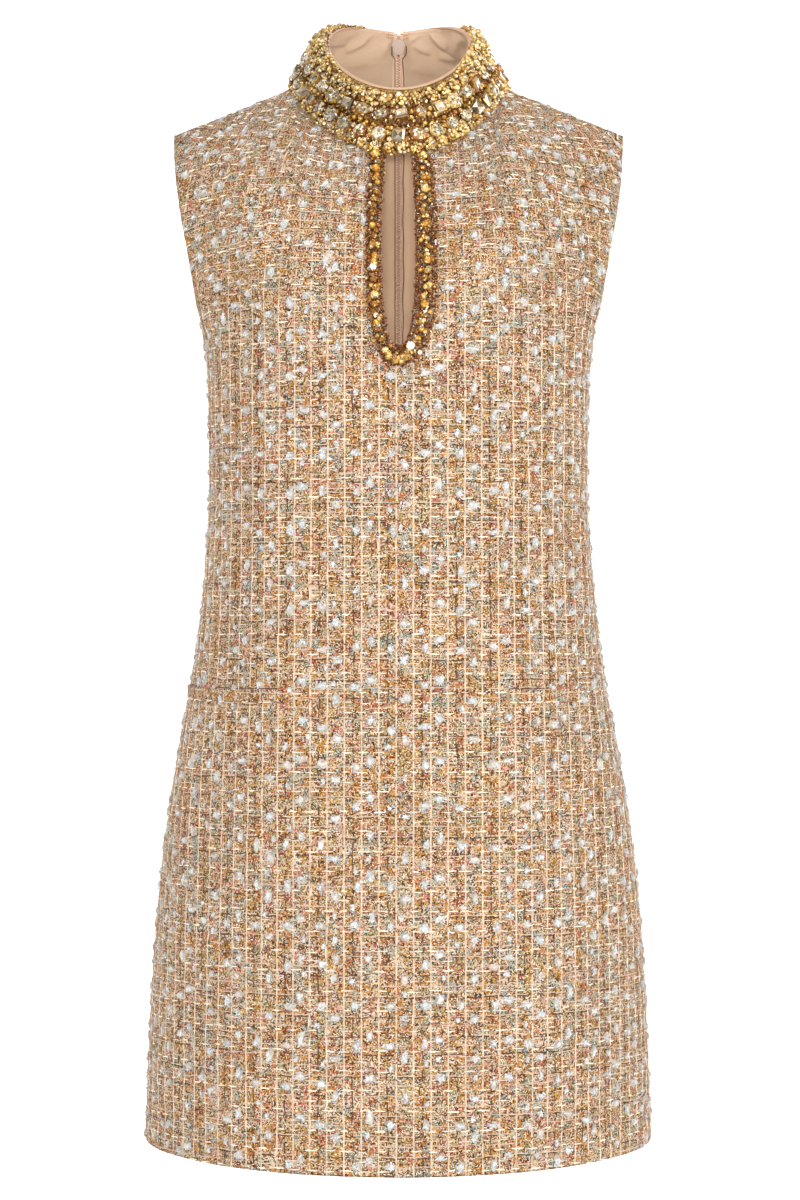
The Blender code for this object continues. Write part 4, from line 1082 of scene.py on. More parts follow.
    # blue-grey, pink and gold tufts beside them, and everywhere the loops' loose fibres
    def fibres(u0, v0, colours, spread, long, wide_at, lift):
        count = len(u0)
        angle = rng.uniform(0, 2 * math.pi, count)
        length = rng.uniform(*long, count)
        tip = rng.uniform(*lift, count)
        cu, sv = np.cos(angle), np.sin(angle)
        w = rng.uniform(*wide_at, count) / 2
        u0, v0 = u0 + rng.normal(0, spread, count), v0 + rng.normal(0, spread, count)
        bend = rng.normal(0, 0.35, count)
        mu, mv = u0 + (cu - sv * bend) * length * 0.5, v0 + (sv + cu * bend) * length * 0.5
        u = np.stack((u0 - sv * w, u0 + sv * w, mu - sv * w, mu + sv * w, u0 + cu * length), 1)
        v = np.stack((v0 + cu * w, v0 - cu * w, mv + cu * w, mv - cu * w, v0 + sv * length), 1)
        z = np.zeros(count) - 0.0002
        h = np.stack((z, z, tip, tip, tip * rng.uniform(0.2, 1.1, count)), 1)
        faces = [(0, 1, 3, 2), (2, 3, 4)]
        tints = np.repeat(colours[:, None], 2, 1) * rng.uniform(0.85, 1.1, (count, 2, 1))
        keep(u, v, h, faces, np.clip(tints, 0, 1))

    density = 1.0 if front else 0.5
    pick = rng.integers(0, len(spots), int(len(spots) * 5 * density))
    fibres(spots[pick, 0], spots[pick, 1], linear((236, 236, 238))[None] * rng.uniform(0.60, 0.95, (len(pick), 1)),
           0.0022, (0.0010, 0.0024), (0.0003, 0.0006), (0.0004, 0.0016))
    tuft = rng.integers(0, len(spots), int(len(spots) * 0.80))
    colours = np.array([linear(c) for c in ((150, 182, 182), (172, 192, 196), (212, 132, 122), (206, 148, 60),
                                            (192, 106, 70), (228, 178, 168))])
    choice = np.repeat(rng.choice(len(colours), len(tuft), p=(0.26, 0.20, 0.16, 0.16, 0.12, 0.10)), 7 if front else 4)
    tu = np.repeat(spots[tuft, 0] + rng.uniform(-0.007, 0.007, len(tuft)), 7 if front else 4)
    tv = np.repeat(spots[tuft, 1] + rng.uniform(-0.009, 0.009, len(tuft)), 7 if front else 4)
    fibres(tu, tv, colours[choice], 0.0016, (0.0016, 0.0036), (0.0004, 0.0009), (0.0003, 0.0010))
    total = int(6000 * density)
    palette = [(linear(c), w) for c, w in OCHRES + CREAMS] + [(linear((206, 116, 78)), 8), (linear((160, 182, 178)), 6),
                                                             (linear((214, 134, 122)), 5), (linear((96, 66, 42)), 8),
                                                             (linear((252, 246, 236)), 18)]
    weights = np.array([w for _, w in palette], float)
    choice = rng.choice(len(palette), total, p=weights / weights.sum())
    colours = np.array([c for c, _ in palette])[choice]
    fibres(rng.uniform(lo_u, hi_u, total), rng.uniform(lo_v, hi_v + 0.0005, total), colours,
           0.0, (0.0018, 0.0042), (0.0003, 0.0007), (0.0003, 0.0016))
    return made


def yarn_piece(name, keys, seed):
    gather = Gather()
    for n, key in enumerate(keys):
        for verts, faces, tints in cloth_items(halves[key], np.random.default_rng(seed + n)):
            faces = [tuple(int(i) for i in f) for f in faces]
            gather.many(faces, verts, tints)
    piece = gather.build(name, YARN, smooth=False)
    return on_dress(piece, "tweed")


front_yarns = yarn_piece("front_yarns", [("front", 1), ("front", -1)], 101)
back_yarns_left = yarn_piece("back_yarns_left", [("back", 1)], 201)
back_yarns_right = yarn_piece("back_yarns_right", [("back", -1)], 301)


# ------------------------------------------------------------------ linings
def lip_opening(z):
    gap = keyhole(z)
    return np.where(gap > 0, np.maximum(gap - 0.0002, 0.0004), 0.0)


def lining_half(side, sign, opening, seed):
    """The lining's own half: its face towards the body, with soft ripples and a turned-up hem."""
    s = body_surface(side, 44, 0.0058, opening, low=LINING_HEM)
    flip = np.array((sign, 1, 1))
    P, N, U, V = s["P"] * flip, s["N"] * flip, s["U"], s["V"]
    off = settle(side, P, U, V)
    middle = smoothstep((U - U[:, :1]) / 0.02) * smoothstep((V[-1:] - V) / 0.03) * smoothstep((U[:, -1:] - U) / 0.01)
    ripple = (LUMP_B(sign * U / 0.026 + seed, V / 0.21) + 0.5) * 0.0022 + (LUMP_C(sign * U / 0.009, V / 0.05) + 0.5) * 0.0005
    inner = P + N * (off - LINING_GAP - 0.0003 - ripple * middle)[..., None]
    turn = [inner[2] - N[2] * 0.0011, inner[1] - N[1] * 0.0011, inner[0] - N[0] * 0.0008 - np.array((0, 0, 0.0004))]
    rows_v = [2 * V[0] - V[2], 2 * V[0] - V[1], V[0]]
    return (np.concatenate((np.array(turn)[:2], np.array(turn)[2:], inner)),
            np.concatenate((np.array(rows_v), V)), np.concatenate((U[2:3], U[1:2], U[:1], U)) * sign, N)


def lining_piece(name, side, signs, opening, slot_nodes, middle_x=None):
    verts, quads, uvs, base, first_index = [], [], [], 0, None
    for sign in signs:
        P, V, U, _ = lining_half(side, sign, opening, 3.0 + 5 * sign + 11 * side)
        if middle_x is not None:
            P[:, 0, 0] = sign * middle_x
        rows, columns = U.shape
        index = np.arange(rows * columns).reshape(rows, columns) + base
        flip = (side == BACK) != (sign < 0)
        if first_index is not None:
            whole = np.abs(P[:, 0, 0]) < 1e-6
            index[whole, 0] = first_index[whole, 0]
        else:
            first_index = index.copy()
        quads.append(grid_faces(rows, columns, not flip, index))
        verts.append(P.reshape(-1, 3))
        uvs.append(np.stack((U, V), -1).reshape(-1, 2))
        base += rows * columns
    verts, quads, uvs = (np.concatenate(a) for a in (verts, quads, uvs))
    keep = np.zeros(len(verts), bool)
    keep[quads.ravel()] = True
    renumber = np.cumsum(keep) - 1
    obj = mesh_piece(name, verts[keep], renumber[quads], LINING_BODY_LIGHTENED, uvs=uvs[keep])
    return on_dress(obj, "lining", *slot_nodes)


front_lining = lining_piece("front_lining_cloth", FRONT, (1, -1), lip_opening, ["front_lining"])
edge_opening = lambda z: np.full(np.shape(z), LINING_EDGE)
back_lining_left = lining_piece("back_lining_cloth_left", BACK, (1,), edge_opening, ["back_lining_left"])
back_lining_right = lining_piece("back_lining_cloth_right", BACK, (-1,), edge_opening, ["back_lining_right"])

# creases inside the collar: points (phi, share) along each, half width in metres and how far it stands in
CREASES = (
    (((-2.76, 1.00), (-2.71, 0.90), (-2.64, 0.76), (-2.54, 0.67), (-2.42, 0.58)), 0.0019, 0.0034),
    (((-2.50, 0.92), (-2.28, 0.88), (-2.08, 0.83)), 0.0022, 0.0016),
    (((-2.40, 0.74), (-2.16, 0.76), (-1.96, 0.80)), 0.0022, 0.0030),
    (((-2.94, 0.50), (-2.60, 0.38), (-2.30, 0.34)), 0.0034, 0.0013),
    (((-3.02, 0.88), (-2.96, 0.66), (-2.90, 0.48)), 0.0018, 0.0011),
    (((2.50, 0.62), (2.56, 0.72), (2.63, 0.84), (2.68, 1.00)), 0.0017, 0.0034),
    (((2.78, 0.99), (2.90, 0.94), (3.00, 0.85), (3.04, 0.70)), 0.0017, 0.0022),
    (((2.00, 0.96), (2.16, 0.84), (2.30, 0.68), (2.42, 0.52)), 0.0036, 0.0070),
    (((2.10, 0.60), (2.26, 0.50), (2.46, 0.46), (2.66, 0.52)), 0.0026, 0.0030),
    (((2.72, 0.60), (2.84, 0.66), (2.94, 0.78)), 0.0017, 0.0018),
    (((2.66, 0.20), (2.84, 0.28), (2.98, 0.40)), 0.0028, 0.0013),
    (((2.28, 0.98), (2.40, 0.90), (2.52, 0.84)), 0.0024, -0.0022),
    (((0.45, 0.85), (0.70, 0.60), (0.95, 0.42)), 0.0032, 0.0009), (((-0.95, 0.72), (-0.75, 0.50), (-0.55, 0.28)), 0.0032, 0.0009),
)


def crease(phi, share):
    """Height of the folds at a row of places: each a bent line, steeper on its lower side."""
    x, y = phi * 0.058, share * 0.052 + 0 * phi
    total = 0.0005 * (LUMP_C(x / 0.012 + 3, y / 0.020) + 0.5)
    for points, width, height in CREASES:
        line = np.array(points) * (0.058, 0.052)
        run = np.concatenate(([0], np.cumsum(np.linalg.norm(np.diff(line, axis=0), axis=1))))
        near, off, along = np.full(x.shape, 1e9), np.zeros(x.shape), np.zeros(x.shape)
        for k in range(len(line) - 1):
            (x0, y0), (dx, dy) = line[k], line[k + 1] - line[k]
            length = math.hypot(dx, dy)
            t = np.clip(((x - x0) * dx + (y - y0) * dy) / length ** 2, 0, 1)
            gap = np.hypot(x - x0 - t * dx, y - y0 - t * dy)
            below = np.sign((x - x0) * dy - (y - y0) * dx) * math.copysign(1, dx)
            closer = gap < near
            near, off = np.where(closer, gap, near), np.where(closer, gap * below, off)
            along = np.where(closer, (run[k] + t * length) / run[-1], along)
        side = width * (2.15 - 0.95 * np.tanh(off / (0.8 * width)))
        total = total + height * np.exp(-(off / side) ** 2) * np.sin(math.pi * np.clip(along, 0.0, 1.0)) ** 0.6
    return total


def collar_lining_piece():
    end = math.pi - math.asin(LINING_EDGE / COLLAR_TOP["w"])
    phi = np.linspace(-end, end, 400)
    shares = np.linspace(0.012, 0.985, 52)
    inner = -LINING_GAP - LINING
    profile = [(s, inner) for s in shares] + [(1.005, inner + 0.0001), (1.022, inner + 0.0008), (1.034, inner + 0.0018),
                                              (1.038, inner + 0.0028), (1.034, inner + 0.0038), (1.020, inner + 0.0046),
                                              (1.004, inner + 0.0048), (0.990, inner + 0.0046)]
    rows = []
    for k, (s, off) in enumerate(profile):
        fade = math.sin(math.pi * min(max((s - 0.02) / 0.94, 0), 1)) ** 0.5 if s < 0.96 else 0.0
        away = smoothstep((end - np.abs(phi)) / 0.10)
        rows.append(collar_at(phi, np.full(len(phi), s), off - crease(phi, s) * fade * away
                              + 0.00012 * LUMP_A(phi * 90, s * 3 + 0 * phi)))
    grid = np.array(rows)
    step = np.linalg.norm(np.diff(grid, axis=1), axis=-1)
    U = np.concatenate((np.zeros((len(grid), 1)), np.cumsum(step, 1)), 1)
    U = U - U[:, -1:] / 2
    up = np.linalg.norm(np.diff(grid, axis=0), axis=-1).mean(1)
    V = np.repeat(np.concatenate(([0], np.cumsum(up)))[:, None], len(phi), 1)
    obj = mesh_piece("collar_lining_cloth", grid.reshape(-1, 3), grid_faces(len(grid), len(phi), flip=True),
                     LINING_CLOTH, uvs=np.stack((U, V), -1).reshape(-1, 2))
    return on_dress(obj, "lining", "collar_lining"), (float(U.max() - U.min()), float(V.max()))


collar_lining, collar_lining_flat = collar_lining_piece()


def rim_inward(phi):
    """How far the rolled edge leans in: the collar closes in a little at its sides."""
    side = np.abs(phi)
    return 0.0026 * smoothstep((side - 0.75) / 0.5) * (1 - smoothstep((side - 2.45) / 0.3))


def collar_edge():
    """The lining's rolled edge along the collar's top, and a thin brown thread along its top: a painted shadow line."""
    end = math.pi - 0.16
    phi = np.linspace(-end, end, 420)
    ends = smoothstep((end - np.abs(phi)) / 0.10)
    wobble = 0.00014 * LUMP_A(phi * 26, 0 * phi)
    line = collar_at(phi, 1.004 + 0.010 * ends, 0.0014 - rim_inward(phi) + wobble)
    v, f = tube(line, (0.0009 + 0.0003 * ends) * (1 + 0.05 * LUMP_B(phi * 40, 0 * phi)), sides=12, up=(0, 0, 1))
    length = np.concatenate(([0], np.cumsum(np.linalg.norm(np.diff(line, axis=0), axis=1))))
    uv = np.stack((np.repeat(length, 12), np.tile(np.arange(12) * 0.0009, len(phi))), -1)
    roll = mesh_piece("collar_edge_roll", v, f, PIPING, uvs=uv)
    on_dress(roll, "lining")
    gather = Gather()
    # a thin brown thread on the roll's top: painted shadow along the edge
    line = collar_at(phi, 1.030, 0.0002 - rim_inward(phi) + wobble)
    v, f = tube(line, 0.00034, sides=5, up=(0, 0, 1))
    gather.add(v, f, linear((150, 112, 84)))
    seam = gather.build("collar_edge_shadow_line", THREAD, smooth=True)
    return [roll, on_dress(seam, "lining")]


def collar_cloth_piece():
    """The collar's tweed band under the beads: outer face, top edge and inner face."""
    end = math.pi - math.asin(0.0010 / COLLAR_TOP["w"])
    phi = np.linspace(-end, end, 280)
    shares = np.linspace(0.006, 0.995, 30)
    rows = [collar_at(phi, np.full(len(phi), s), np.full(len(phi), 0.0)) for s in shares[::4][::-1]]
    bottom = len(rows)
    rows += [collar_at(phi, np.full(len(phi), s), TWEED + relief(phi * 0.07 + 0.3, s * 0.05)) for s in shares]
    rows += [collar_at(phi, np.full(len(phi), 1.0), np.full(len(phi), 0.0010))]
    grid = np.array(rows)
    step = np.linalg.norm(np.diff(grid, axis=1), axis=-1)
    U = np.concatenate((np.zeros((len(grid), 1)), np.cumsum(step, 1)), 1)
    up = np.linalg.norm(np.diff(grid, axis=0), axis=-1).mean(1)
    V = np.repeat(np.concatenate(([0], np.cumsum(up)))[:, None], len(phi), 1)
    obj = mesh_piece("collar_tweed", grid.reshape(-1, 3), grid_faces(len(grid), len(phi)),
                     COLLAR_CLOTH_SHADED, uvs=np.stack((U, V), -1).reshape(-1, 2))
    return on_dress(obj, "tweed", "collar"), (float(U.max() - U.min()), float(V.max()))


def under_bead_material():
    net = Net("collar_ground_cloth_painted_shade", roughness=0.9, specular=0.1)
    u, v = net.cloth()
    cell = net.vector((u / 1.0).floor(), (v / 1.0).floor(), 1.5)
    colour = net.palette(net.white(cell), [c for c, _ in OCHRES], [w for _, w in OCHRES])
    # the tweed's colours mixed most of the way to dark brown: painted shade between the beads that cover this band
    net.colour(net.mix(0.62 + net.white(cell) * 0.2, colour, (84, 52, 22)))
    net.bump(net.white(cell), 0.0005, 0.8)
    return net.material


COLLAR_CLOTH_SHADED = under_bead_material()
collar_tweed, collar_flat = collar_cloth_piece()


collar_edge_pieces = collar_edge()


# ------------------------------------------------------------------ bead and stone shapes
def icosahedron():
    g = (1 + 5 ** 0.5) / 2
    v = unit(np.array(((-1, g, 0), (1, g, 0), (-1, -g, 0), (1, -g, 0), (0, -1, g), (0, 1, g), (0, -1, -g), (0, 1, -g),
                       (g, 0, -1), (g, 0, 1), (-g, 0, -1), (-g, 0, 1)), float))
    f = [(0, 11, 5), (0, 5, 1), (0, 1, 7), (0, 7, 10), (0, 10, 11), (1, 5, 9), (5, 11, 4), (11, 10, 2), (10, 7, 6),
         (7, 1, 8), (3, 9, 4), (3, 4, 2), (3, 2, 6), (3, 6, 8), (3, 8, 9), (4, 9, 5), (2, 4, 11), (6, 2, 10),
         (8, 6, 7), (9, 8, 1)]
    return v, f


def finer(v, f):
    verts, index, faces = list(map(tuple, v)), {}, []

    def mid(a, b):
        key = (min(a, b), max(a, b))
        if key not in index:
            m = (np.array(verts[a]) + np.array(verts[b])) / 2
            verts.append(tuple(m / np.linalg.norm(m)))
            index[key] = len(verts) - 1
        return index[key]
    for a, b, c in f:
        ab, bc, ca = mid(a, b), mid(b, c), mid(c, a)
        faces += [(a, ab, ca), (b, bc, ab), (c, ca, bc), (ab, bc, ca)]
    return np.array(verts), faces


SEED_BEAD = icosahedron()
ROUND_BEAD = finer(*icosahedron())


def lathe_shape(profile, outline):
    """Rings of (radius, height, turn) round local Z; outline gives the radius factor at each angle."""
    n = len(outline)
    verts, faces = [], []
    for radius, z, turn in profile:
        for k in range(n):
            a = 2 * math.pi * (k + turn) / n
            lo, hi = int(math.floor(k + turn)) % n, (int(math.floor(k + turn)) + 1) % n
            f = outline[lo] + (outline[hi] - outline[lo]) * ((k + turn) % 1)
            verts.append((radius * f * math.cos(a), radius * f * math.sin(a), z))
    for r in range(len(profile) - 1):
        t0, t1 = profile[r][2], profile[r + 1][2]
        for k in range(n):
            a, b = r * n + k, r * n + (k + 1) % n
            c, d = (r + 1) * n + k, (r + 1) * n + (k + 1) % n
            if t0 == t1:
                faces += [(a, b, d, c)]
            elif t1 > t0:
                faces += [(a, b, c), (b, d, c)]
            else:
                faces += [(a, b, d), (a, d, c)]
    return verts, faces


def capped(verts, faces, ring_start, n, z_centre=None, up=True):
    """A fan over a ring; raised or sunk at its middle."""
    pts = np.array(verts[ring_start:ring_start + n])
    centre = pts.mean(0)
    if z_centre is not None:
        centre[2] = z_centre
    verts.append(tuple(centre))
    c = len(verts) - 1
    for k in range(n):
        a, b = ring_start + k, ring_start + (k + 1) % n
        faces.append((a, b, c) if up else (b, a, c))
    return verts, faces


def round_stone():
    n = 9
    profile = [(0.80, -0.55, 0), (1.0, -0.05, 0), (1.0, 0.06, 0), (0.78, 0.36, 0.5), (0.46, 0.47, 0)]
    v, f = lathe_shape(profile, [1.0] * n)
    v, f = capped(v, f, 4 * n, n, 0.36)
    v, f = capped(v, f, 0, n, -0.6, up=False)
    return np.array(v), f


def square_stone():
    """A square cut: four broad bevels to a girdle with nipped corners, and a table that dips in an X."""
    nip = 0.14
    corners = []
    for k in range(4):
        ca, sa = math.cos(k * math.pi / 2), math.sin(k * math.pi / 2)
        for x, y in ((1.0, -(1 - nip)), (1.0, 1 - nip)):
            corners.append((x * ca - y * sa, x * sa + y * ca))
    v, f = [], []
    for scale, z in ((0.78, -0.55), (0.97, -0.06), (0.97, 0.10), (0.70, 0.36)):
        v += [(x * scale, y * scale, z) for x, y in corners]
    for r in range(3):
        for k in range(8):
            a, b = r * 8 + k, r * 8 + (k + 1) % 8
            f.append((a, b, b + 8, a + 8))
    v, f = capped(v, f, 24, 8, 0.20)
    v, f = capped(v, f, 0, 8, -0.6, up=False)
    return np.array(v), f


def cup(outline_stone, claws):
    """A stone's metal cup: an open rim, tapering down, with claws bent over the stone."""
    n = 12
    turn = 0.0
    if outline_stone == "square":
        outline = [1.0 / (abs(math.cos(a)) ** 26 + abs(math.sin(a)) ** 26) ** (1 / 26)
                   for a in (2 * math.pi * k / n + math.pi / 12 for k in range(n))]
        turn = math.pi / 12
    else:
        outline = [1.0] * n
    v, f = lathe_shape([(0.70, -0.95, 0), (1.00, -0.35, 0), (1.07, 0.0, 0), (1.05, 0.08, 0), (0.98, 0.05, 0)], outline)
    v, f = capped(v, f, 0, n, -0.95, up=False)
    ct, st = math.cos(turn), math.sin(turn)
    v = [(x * ct - y * st, x * st + y * ct, z) for x, y, z in v]
    for k in range(claws):
        a = 2 * math.pi * (k + 0.5) / claws
        reach = 1.34 if outline_stone == "square" else 1.05
        ca, sa = math.cos(a), math.sin(a)
        line = [(reach * 1.02, -0.25), (reach * 1.04, 0.12), (reach * 0.95, 0.30), (reach * 0.80, 0.36)]
        width = [0.13, 0.13, 0.11, 0.06]
        start = len(v)
        for (r, z), w in zip(line, width):
            for side in (-1, 1):
                v.append((r * ca - side * w * sa, r * sa + side * w * ca, z))
            v.append(((r + 0.09) * ca, (r + 0.09) * sa, z + 0.07))
        for s in range(3):
            b = start + 3 * s
            f += [(b, b + 2, b + 5, b + 3), (b + 2, b + 1, b + 4, b + 5), (b + 1, b, b + 3, b + 4)]
        f += [(start + 9, start + 11, start + 10), (start, start + 1, start + 2)]
    return np.array(v), f


ROUND_STONE, SQUARE_STONE = round_stone(), square_stone()
ROUND_CUP, SQUARE_CUP = cup("round", 6), cup("square", 4)

# bead and stone colours; picked facet by facet, their palest and darkest entries also act as painted highlights and
# painted reflections
GOLDS = [((212, 176, 102), 24), ((232, 210, 152), 17), ((190, 146, 70), 18), ((150, 106, 48), 13), ((100, 68, 30), 11),
         ((252, 243, 216), 9), ((166, 150, 114), 10)]
AMBERS = [((154, 100, 26), 20), ((190, 136, 48), 17), ((94, 54, 16), 20), ((218, 172, 78), 11), ((52, 30, 12), 15),
          ((248, 222, 152), 7), ((170, 88, 32), 8), ((132, 110, 54), 6)]
BROWNS = [((98, 52, 22), 27), ((70, 36, 18), 25), ((126, 72, 30), 22), ((158, 98, 40), 13), ((192, 132, 60), 7),
          ((44, 26, 16), 8)]
# dark browns for the lowest layer of small beads: real beads, painted dark as the shade in the gaps between the beads
# above
DEEP_PAINTED_SHADE = [((116, 70, 26), 24), ((84, 48, 20), 24), ((52, 30, 14), 20), ((150, 98, 40), 16), ((184, 130, 60), 8)]
CLEARS = [((250, 246, 236), 10), ((206, 194, 168), 14), ((164, 146, 110), 18), ((124, 98, 62), 19),
          ((72, 54, 34), 17), ((196, 156, 88), 15), ((38, 30, 22), 11)]
SMOKES = [((164, 154, 130), 17), ((130, 120, 98), 22), ((94, 84, 66), 21), ((216, 208, 190), 9), ((52, 46, 36), 18),
          ((166, 136, 86), 15)]


def chosen(palette, rng, count):
    colours = np.array([linear(c) for c, _ in palette])
    weights = np.array([w for _, w in palette], float)
    return colours[rng.choice(len(colours), count, p=weights / weights.sum())]


def frames(n, around, rng, spin=None, tilt=0.0):
    """Local axes for shapes: Z along n, turned by spin and leaned a little at random."""
    n = unit(n + rng.normal(0, tilt, n.shape)) if tilt else unit(n)
    x = unit(around - n * (around * n).sum(-1, keepdims=True))
    y = np.cross(n, x)
    spin = rng.uniform(0, 2 * math.pi, len(n)) if spin is None else spin
    c, s = np.cos(spin)[:, None], np.sin(spin)[:, None]
    return np.stack((x * c + y * s, -x * s + y * c, n), 1)


def scatter(gather, shape, at, axes, size, tints):
    """Copies of a shape: at (k, 3), axes (k, 3, 3) rows, size (k, 3), tints (k, faces, 3)."""
    v, f = shape
    side_shade_and_keyhole_tone = 1 - 0.30 * smoothstep((-at[:, 0] - 0.024) / 0.026)      # painted shade: the collar's beads are darker round the wearer's right side
    side_shade_and_keyhole_tone = side_shade_and_keyhole_tone * np.where(at[:, 2] < -0.063, 0.88, 1.0)           # and browner round the keyhole
    tints = tints * side_shade_and_keyhole_tone[:, None, None]
    placed = at[:, None] + np.einsum("kva,kab->kvb", v[None] * size[:, None], axes)
    gather.many([tuple(int(i) for i in face) for face in f], placed, np.clip(tints, 0, 1))


def facets(palette, rng, k, faces, base_share=0.55):
    """Each bead keeps mostly to one colour; each facet also gets its own paler or darker tint, as painted highlights
    and painted reflections.
    """
    own = chosen(palette, rng, k)
    each = chosen(palette, rng, k * faces).reshape(k, faces, 3)
    mixed = own[:, None] * base_share + each * (1 - base_share)
    return mixed * rng.uniform(0.75, 1.2, (k, faces, 1))


def beads(gather, at, n, around, size, palette, rng, shape=None, flat=1.0, tilt=0.35, base_share=0.55):
    shape = shape or ROUND_BEAD
    k = len(at)
    size = np.broadcast_to(np.asarray(size, float), (k,))
    s = np.stack((size, size, size * flat), 1) * rng.uniform(0.92, 1.08, (k, 3))
    scatter(gather, shape, at, frames(n, around, rng, tilt=tilt), s, facets(palette, rng, k, len(shape[1]), base_share))


def stones(gather, kind, at, n, around, size, rng, palette=CLEARS, spin=None, tilt=0.12, metal=AMBERS):
    """Faceted stones in clawed cups."""
    k = len(at)
    size = np.broadcast_to(np.asarray(size, float), (k,))
    stone, holder = (SQUARE_STONE, SQUARE_CUP) if kind == "square" else (ROUND_STONE, ROUND_CUP)
    axes = frames(n, around, rng, spin=spin, tilt=tilt)
    s = np.repeat(size[:, None], 3, 1)
    scatter(gather, stone, at, axes, s, facets(palette, rng, k, len(stone[1]), 0.18))
    scatter(gather, holder, at, axes, s, facets(metal, rng, k, len(holder[1]), 0.7))


# ------------------------------------------------------------------ the collar's rows
def spaced(share, pitch, start=0.0, x_free=0.0082):
    """Angles evenly spaced along the collar at a share of its height, clear of the zip."""
    phi = np.linspace(-math.pi, math.pi, 2001)
    p = collar_point(phi, np.full(len(phi), share))
    length = np.concatenate(([0], np.cumsum(np.linalg.norm(np.diff(p, axis=0), axis=1))))
    count = int(round(length[-1] / pitch))
    made = np.interp((np.arange(count) + start) / count * length[-1], length, phi)
    x = collar_point(made, np.full(len(made), share))[:, 0]
    return made[~((np.abs(x) < x_free) & (np.abs(made) > math.pi / 2))]


def collar_frame(phi, share, offset):
    at = collar_at(phi, share, offset)
    n = collar_normal(phi, share)
    around = unit(collar_point(phi + 1e-3, share) - collar_point(phi - 1e-3, share))
    return at, n, around, np.cross(n, around)


def filler(gather, low, high, pitch, offset, size, palette, rng, shape=None):
    """Small beads packed over a band."""
    rows = max(int(round((high - low) * 0.054 / pitch)), 1)
    for r in range(rows):
        share = low + (high - low) * (r + 0.5) / rows
        phi = spaced(share, pitch, start=rng.random())
        share_of = share + rng.normal(0, 0.006, len(phi))
        at, n, around, _ = collar_frame(phi + rng.normal(0, 0.006, len(phi)), share_of,
                                        TWEED + offset + rng.uniform(-0.0004, 0.0006, len(phi)))
        beads(gather, at, n, around, rng.uniform(*size, len(phi)), palette, rng, shape or SEED_BEAD)


def nuggets(gather, low, high, pitch, depth_out, palette, rng, sub=(0.0013, 0.0021), stone_share=0.3, radius=0.0046,
            stone_palette=CLEARS, only=None):
    """Clusters of small faceted beads heaped round a middle bead or stone."""
    middle, half = (low + high) / 2, (high - low) / 2
    phi = spaced(middle, pitch, start=rng.random())
    phi = phi[only(phi)] if only else phi
    count = len(phi)
    shares = middle + rng.normal(0, half * 0.16, count)
    r = radius * rng.uniform(0.88, 1.12, count)
    at0, n0, a0, u0 = collar_frame(phi, shares, np.full(count, TWEED + 0.0012))
    ring = [(0.0, 0.95)] + [(0.62, 0.70)] * 5 + [(0.98, 0.22)] * 8
    place, normal, around = [], [], []
    for k, (rad, high_k) in enumerate(ring):
        group = 0 if k == 0 else (5 if k <= 5 else 8)
        angle = (k * 2 * math.pi / max(group, 1)) + rng.uniform(-0.28, 0.28, count) + (0.4 if group == 8 else 0)
        rr = rad * r * rng.uniform(0.88, 1.1, count)
        out = high_k * (depth_out - 0.0020) * rng.uniform(0.85, 1.12, count)
        p = at0 + a0 * (np.cos(angle) * rr)[:, None] + u0 * (np.sin(angle) * rr)[:, None] + n0 * out[:, None]
        if k == 0:
            stone = rng.random(count) < stone_share
            if stone.any():
                kind_rng = np.random.default_rng(int(pitch * 1e6) + 3)
                stones(gather, "round", p[stone] + n0[stone] * 0.0002, n0[stone], a0[stone],
                       rng.uniform(0.0018, 0.0026, stone.sum()), kind_rng, palette=stone_palette)
            p, nn, aa = p[~stone], n0[~stone], a0[~stone]
        else:
            nn, aa = n0, a0
        place.append(p)
        normal.append(nn)
        around.append(aa)
    for some, shape in ((slice(0, 6), ROUND_BEAD), (slice(6, 14), SEED_BEAD)):
        p, n, a = (np.concatenate(x[some]) for x in (place, normal, around))
        beads(gather, p, n, a, rng.uniform(*sub, len(p)), palette, rng, shape, tilt=0.6)


def crystal_row(gather, share, pitch, size, depth_out, rng, start=0.0, squares=0.5, small=True):
    phi = spaced(share, pitch, start=start, x_free=0.0105)
    count = len(phi)
    square = rng.random(count) < squares
    sizes = size * rng.uniform(0.84, 1.10, count)
    at, n, a, u = collar_frame(phi, share + rng.normal(0, 0.012, count), np.full(count, TWEED + depth_out * 0.62))
    n = unit(n - u * rng.normal(0.02, 0.15, count)[:, None] + a * rng.normal(0, 0.15, count)[:, None])
    # some smoky stones all round, and most of them on the wearer's right side (phi below -0.45): there the darker
    # stones are painted shade
    smoky_and_side_shade = rng.random(count) < np.where(phi < -0.45, 0.85, 0.36)
    for kind, is_kind in (("square", square), ("round", ~square)):
        for palette, is_tone in ((CLEARS, ~smoky_and_side_shade), (SMOKES, smoky_and_side_shade)):
            pick = is_kind & is_tone
            if pick.any():
                factor = 0.84 if kind == "square" else 1.0
                spin = rng.normal(0, 0.22, pick.sum()) if kind == "square" else None
                stones(gather, kind, at[pick], n[pick], a[pick], sizes[pick] * factor, rng, palette, spin=spin)
    if small:
        between = phi + (np.diff(np.r_[phi, phi[:1] + 2 * math.pi]) / 2)
        between = between[np.abs(between) < math.pi - 0.22]
        for dv, dsize in ((0.045, 0.0021), (-0.045, 0.0019)):
            at, n, a, _ = collar_frame(between + rng.normal(0, 0.015, len(between)),
                                       share + dv + rng.normal(0, 0.012, len(between)),
                                       np.full(len(between), TWEED + depth_out * 0.45))
            some = rng.random(len(at)) < 0.5
            if some.any():
                stones(gather, "round", at[some], n[some], a[some], dsize, rng, CLEARS)
            rest = ~some
            if rest.any():
                beads(gather, at[rest], n[rest], a[rest], dsize * 0.95, AMBERS, rng)


def bead_row(name, slot, build, material):
    gather = Gather()
    rng = np.random.default_rng(sum(ord(c) for c in name))
    build(gather, rng)
    return on_dress(gather.build(name + "_detail", material), slot, name)


